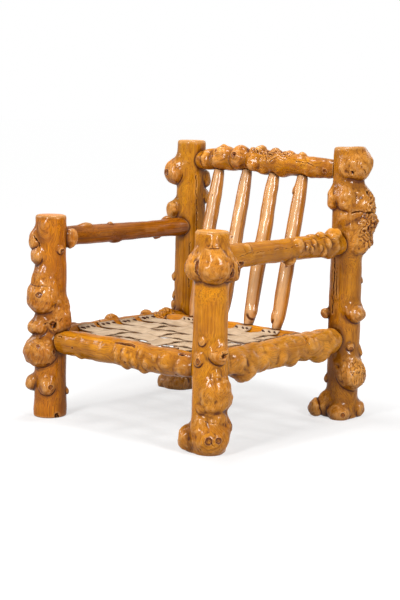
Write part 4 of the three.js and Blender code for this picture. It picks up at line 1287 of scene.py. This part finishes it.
# The middle line of a strip, over and under those that cross it, at even steps
def stripLine(rails, length, crossings, halfWidth):
    lift = (weave["thickness"] + chair["fit"]) / 2
    line = [flapLine(rails[0])]
    for place, over in crossings:
        height = lift if over else -lift
        line.append(np.array([[place - halfWidth, height], [place + halfWidth, height]]))
    line.append((flapLine(rails[1]) * [-1, 1] + [length, 0])[::-1])
    line = np.vstack(line)
    along = np.concatenate([[0], np.cumsum(np.linalg.norm(np.diff(line, axis=0), axis=1))])
    even = np.linspace(0, along[-1], int(along[-1] / weave["step"]) + 1)
    line = np.stack([np.interp(even, along, line[:, k]) for k in (0, 1)], 1)
    for _ in range(2):
        line[1:-1] = (line[:-2] + 2 * line[1:-1] + line[2:]) / 4
    return line


# A sheet of points held off the rails that it lies on
def laidOn(points, trees):
    need = weave["thickness"] / 2 + chair["fit"]
    for _ in range(3):
        for k, point in enumerate(points):
            for tree in trees:
                spot, normal, _, _ = tree.find_nearest(Vector(point), 0.02)
                if spot is None:
                    continue
                short = need - (Vector(point) - spot).dot(normal)
                if short > 0:
                    points[k] = point + np.array(normal) * short
    return points


# A sheet of points as a closed strip: two faces, and a rounded rim between them
def thicken(sheet):
    rows, columns = sheet.shape[:2]
    lengthways, sideways = np.gradient(sheet, axis=0), np.gradient(sheet, axis=1)
    normal = np.cross(lengthways, sideways)
    normal /= np.linalg.norm(normal, axis=2, keepdims=True)
    top = (sheet + normal * weave["thickness"] / 2).reshape(-1, 3)
    bottom = (sheet - normal * weave["thickness"] / 2).reshape(-1, 3)
    index = np.arange(rows * columns).reshape(rows, columns)
    loop = np.concatenate([index[0, :-1], index[:-1, -1], index[-1, :0:-1], index[:0:-1, 0]])
    outwards = np.zeros_like(sheet)
    outwards[0] -= lengthways[0]
    outwards[-1] += lengthways[-1]
    outwards[:, 0] -= sideways[:, 0]
    outwards[:, -1] += sideways[:, -1]
    outwards = outwards.reshape(-1, 3)[loop]
    outwards /= np.linalg.norm(outwards, axis=1, keepdims=True)
    rim = sheet.reshape(-1, 3)[loop] + outwards * weave["rimRound"]
    corners = [index[:-1, :-1], index[1:, :-1], index[1:, 1:], index[:-1, 1:]]
    faces = np.stack(corners, -1).reshape(-1, 4)
    low = rows * columns
    rimIndex = np.arange(len(loop)) + low * 2
    nextLoop, nextRim = np.roll(loop, -1), np.roll(rimIndex, -1)
    quads = np.vstack([
        faces,
        faces[:, ::-1] + low,
        np.stack([loop, nextLoop, nextRim, rimIndex], 1),
        np.stack([rimIndex, nextRim, nextLoop + low, loop + low], 1),
    ])
    return np.vstack([top, bottom, rim]), quads, loop


# A strip as rows of points along, aside and up, and the half width of each row
def stripGrid(way, number, rails, seed):
    other, odd = others[way], 0 if way == "lengthwise" else 1
    crossings = [(share * span[way], (number + k) % 2 == odd) for k, share in enumerate(weave[other])]
    line = stripLine(rails, span[way], crossings, stripWidth[other] / 2 + weave["bulge"][other] / 2)
    rows, v = len(line), np.linspace(-1, 1, weave["columns"])
    gaps = [np.abs(line[:, 0] - place) for place, _ in crossings]
    nearest = np.min(gaps, axis=0)
    half = stripWidth[way] / 2 + weave["bulge"][way] * smoothStep(*weave["bulgeReach"], nearest)
    probe = np.stack([line[:, 0], np.full(rows, 0.5), np.full(rows, 0.5)], 1)
    edges = [half + weave["ragged"] * softNoise(probe, weave["raggedSize"], seed + k) for k in (1, 2)]
    drift = weave["drift"] * softNoise(probe, weave["driftSize"], seed + 3)
    grid = np.zeros((rows, len(v), 3))
    grid[..., 0] = line[:, :1]
    grid[..., 1] = np.where(v < 0, v * edges[0][:, None], v * edges[1][:, None]) + drift[:, None]
    grid[..., 2] = line[:, 1:]
    ends = np.exp(-np.arange(rows) / 3.0)
    slant = softNoise(np.stack([v * 0.06, v * 0 + seed, v * 0], 1), 0.03, seed + 4)
    grid[..., 0] += weave["slant"] * (ends[:, None] - ends[::-1, None]) * slant
    ripple = softNoise(grid.reshape(-1, 3) + seed, weave["rippleSize"], seed + 5).reshape(rows, len(v))
    cups = [smoothStep(*weave["cupReach"], gap) * over for gap, (_, over) in zip(gaps, crossings)]
    grid[..., 2] += weave["cup"] * np.max(cups, axis=0)[:, None] * np.abs(v) ** 2.5
    grid[..., 2] += weave["ripple"] * ripple * (1 - smoothStep(0.03, 0, nearest)[:, None])
    return grid, half


def railTree(name):
    points, quads = surfaces[name]
    return BVHTree.FromPolygons(points.tolist(), quads.tolist())


seatTrees = {side: railTree("seat_rail_" + side) for side in ("front", "rear", "left", "right")}
leather, iron = makeLeather("strip_leather"), makeIron("tack_iron")


# One strip of leather, laid on its two rails, and its sheet of points for the tacks
def makeStrip(way, number):
    lengthwise = way == "lengthwise"
    sides = ("front", "rear") if lengthwise else ("left", "right")
    seed = number * 7 + (0 if lengthwise else 50)
    grid, half = stripGrid(way, number, [logs["seat_rail_" + side] for side in sides], seed)
    rows, columns = grid.shape[:2]
    place = weave[way][number]
    if lengthwise:
        sheet = grid[..., [1, 0, 2]] + [left + place * across, feet["front_left"].y, seat]
    else:
        sheet = grid + [left, feet["front_left"].y + place * span["lengthwise"], seat]
    sheet = laidOn(sheet.reshape(-1, 3), [seatTrees[side] for side in sides]).reshape(rows, columns, 3)
    if lengthwise:
        sheet, grid = sheet[:, ::-1], grid[:, ::-1]
    points, quads, loop = thicken(sheet)
    flat = grid.copy()
    flat[..., 2] = seed * 0.31
    flat = flat.reshape(-1, 3)
    fromSide = (1 - np.abs(np.linspace(-1, 1, columns))) * half[:, None]
    fromEnd = np.minimum(np.arange(rows), np.arange(rows)[::-1])[:, None] * weave["step"]
    edge = 1 - smoothStep(0, weave["darkEdge"], np.minimum(fromSide, fromEnd).ravel())
    attributes = {
        "place": np.vstack([flat, flat, flat[loop]]),
        "edge": np.concatenate([edge, edge, np.ones(len(loop))]),
    }
    name = "seat_strip_" + way + "_" + str(number + 1)
    strip = addMesh(name + "_leather", points, quads, leather, attributes)
    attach(strip, "root")
    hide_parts(name)
    middle = sheet[:, columns // 2]
    length = float(np.linalg.norm(np.diff(middle, axis=0), axis=1).sum())
    return sheet


sheets = {(way, k): makeStrip(way, k) for way in ("lengthwise", "crosswise") for k in range(4)}
print("strips:", len(sheets))

tack = {
    "long": 0.0084,
    "wide": 0.0032,
    "high": 0.0046,
    "sunk": 0.0003,
    "dome": 0.92,
    "slant": 56,
    "fromEnd": 0.012,
    "astray": 0.0015,
    "around": 12,
    "rings": 4,
}


# An iron head on a strip, long and low, and sunk a little into the leather
def tackMesh(centre, along, aside, up, turn, size):
    around, rings = tack["around"], tack["rings"]
    c, s = math.cos(turn), math.sin(turn)
    points = []
    for ring in range(rings):
        lift = ring / (rings - 1)
        reach = math.sqrt(1 - (tack["dome"] * lift) ** 2)
        for k in range(around):
            angle = 2 * math.pi * k / around
            p = math.cos(angle) * reach * tack["long"] * size
            q = math.sin(angle) * reach * tack["wide"] * size
            level = along * (p * c - q * s) + aside * (p * s + q * c)
            points.append(centre + level + up * (lift * tack["high"] - tack["sunk"]))
    quads = []
    for low in range(0, (rings - 1) * around, around):
        for k in range(around):
            n = (k + 1) % around
            quads.append([low + k, low + n, low + around + n, low + around + k])
    top = (rings - 1) * around
    for k in range(1, around - 2, 2):
        quads.append([top, top + k, top + k + 1, top + k + 2])
        quads.append([0, k + 2, k + 1, k])
    return points, quads


# Three or four tacks across one end of a strip
def makeTacks(way, number, end, seed):
    sheet = sheets[way, number]
    rows, columns = sheet.shape[:2]
    row = round(tack["fromEnd"] / weave["step"])
    row, inward = (row, 1) if end == 0 else (rows - 1 - row, -1)
    count = 3 + (seed * 7) % 2
    points, quads = [], []
    for k in range(count):
        wobble = math.sin(seed * 12.9 + k * 78.2)
        column = round((k + 0.5) / count * (columns - 1) + wobble * 0.6)
        column = min(max(column, 1), columns - 2)
        sideways = sheet[row, column + 1] - sheet[row, column - 1]
        along = sheet[row + inward, column] - sheet[row, column]
        sideways, along = sideways / np.linalg.norm(sideways), along / np.linalg.norm(along)
        up = np.cross(along, sideways)
        up /= np.linalg.norm(up)
        up = up if up[2] > 0 else -up
        centre = sheet[row, column] + up * weave["thickness"] / 2
        centre = centre + along * tack["astray"] * math.cos(seed * 5 + k * 31)
        turn = math.radians(tack["slant"]) * (1 + 0.3 * wobble) + (0.35 if k % 2 else -0.1)
        size = 1 + 0.12 * math.cos(k * 9 + seed)
        own, faces = tackMesh(centre, along, np.cross(up, along), up, turn, size)
        quads += [[index + len(points) for index in face] for face in faces]
        points += own
    name = "tacks_" + way + "_" + str(number + 1) + "_" + str(end + 1)
    piece = addMesh(name, np.array(points), np.array(quads), iron)
    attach(piece, "root")


for number in range(4):
    for end in range(2):
        makeTacks("lengthwise", number, end, number * 2 + end + 1)
        makeTacks("crosswise", number, end, number * 2 + end + 20)
print("tacks: 16 groups")

studio = {
    "place": (2.79433, -3.22777, 0.9611),
    "yaw": 40.791,
    "pitch": 8.042,
    "roll": 1.124,
    "lens": 85.617,
    "sensor": 36,
    "aim": (0, 0, 0.4),
    "floorSize": 40,
    "floorDrop": 0.0002,
    "floorGrey": (165, 165, 165),
    "glow": [(0.6, 0.62), (2.0, 0.95)],  # distance from the chair, and how white the floor looks there
    "fill": 0.12,
}
lamps = {
    "key": {"place": (0.5, -2.6, 1.9), "size": (0.45, 0.9), "power": 54},
    "overhead": {"place": (-0.3, 0.1, 2.7), "size": (0.8, 0.8), "power": 42},
    "right": {"place": (2.7, -0.6, 1.6), "size": (0.4, 0.85), "power": 44},
    "left": {"place": (-2.4, -1.2, 1.6), "size": (0.5, 1.0), "power": 18},
    "rear": {"place": (0.4, 2.8, 1.7), "size": (1.2, 1.2), "power": 16},
}


def setCamera():
    yaw, pitch, roll = (math.radians(studio[key]) for key in ("yaw", "pitch", "roll"))
    back = Vector((math.sin(yaw) * math.cos(pitch), -math.cos(yaw) * math.cos(pitch), math.sin(pitch)))
    level = (-back).cross(upward).normalized()
    above = level.cross(-back)
    rightward = level * math.cos(roll) + above * math.sin(roll)
    skyward = above * math.cos(roll) - level * math.sin(roll)
    camera = bpy.data.objects.new("camera", bpy.data.cameras.new("camera"))
    camera.data.lens = studio["lens"]
    camera.data.sensor_width = studio["sensor"]
    axes = Matrix((rightward, skyward, back)).transposed().to_4x4()
    camera.matrix_world = Matrix.Translation(studio["place"]) @ axes
    bpy.context.scene.collection.objects.link(camera)
    bpy.context.scene.camera = camera


# White to the camera and in what it sees reflected or through glass, and a lesser level otherwise
def seenDirectly(shade, otherwise):
    path = shade.node("ShaderNodeLightPath")
    seen = path["Is Camera Ray"] + path["Is Glossy Ray"] + path["Is Transmission Ray"] + otherwise
    return shade.maths("MINIMUM", seen, 1.0)


def makeFloor():
    shade = Shader(bpy.data.materials.new("floor_white"))
    cast = shade.node("ShaderNodeBsdfDiffuse", None, {"Color": colour(*studio["floorGrey"])})["BSDF"]
    away = shade.length(shade.node("ShaderNodeNewGeometry")["Position"])
    stops = [(distance * 0.25, level) for distance, level in studio["glow"]]
    level = shade.ramp(away * 0.25, *stops)
    strength = seenDirectly(shade, 0) * level
    glow = shade.node("ShaderNodeEmission", None, {"Strength": strength})["Emission"]
    both = shade.node("ShaderNodeAddShader", None, {0: cast, 1: glow})["Shader"]
    shade.node("ShaderNodeOutputMaterial", None, {"Surface": both})
    size, low = studio["floorSize"], -studio["floorDrop"]
    corners = np.array([[-size, -size, low], [size, -size, low], [size, size, low], [-size, size, low]])
    addMesh("floor", corners, np.array([[0, 1, 2, 3]]), shade.holder)


def makeLamp(name, place, size, power):
    light = bpy.data.lights.new(name, "AREA")
    light.shape = "RECTANGLE"
    light.size, light.size_y = size
    light.energy = power
    lamp = bpy.data.objects.new(name, light)
    lamp.location = place
    lamp.rotation_euler = (Vector(studio["aim"]) - Vector(place)).to_track_quat("-Z", "Y").to_euler()
    bpy.context.scene.collection.objects.link(lamp)


def makeWorld():
    shade = Shader(bpy.data.worlds.new("white"))
    inputs = {"Color": (1, 1, 1, 1), "Strength": seenDirectly(shade, studio["fill"])}
    sky = shade.node("ShaderNodeBackground", None, inputs)["Background"]
    shade.node("ShaderNodeOutputWorld", None, {"Surface": sky})
    bpy.context.scene.world = shade.holder


setCamera()
makeFloor()
for name, lamp in lamps.items():
    makeLamp(name, **lamp)
makeWorld()
bpy.context.scene.view_settings.view_transform = "Standard"
print("camera, floor, world and", len(lamps), "lamps")
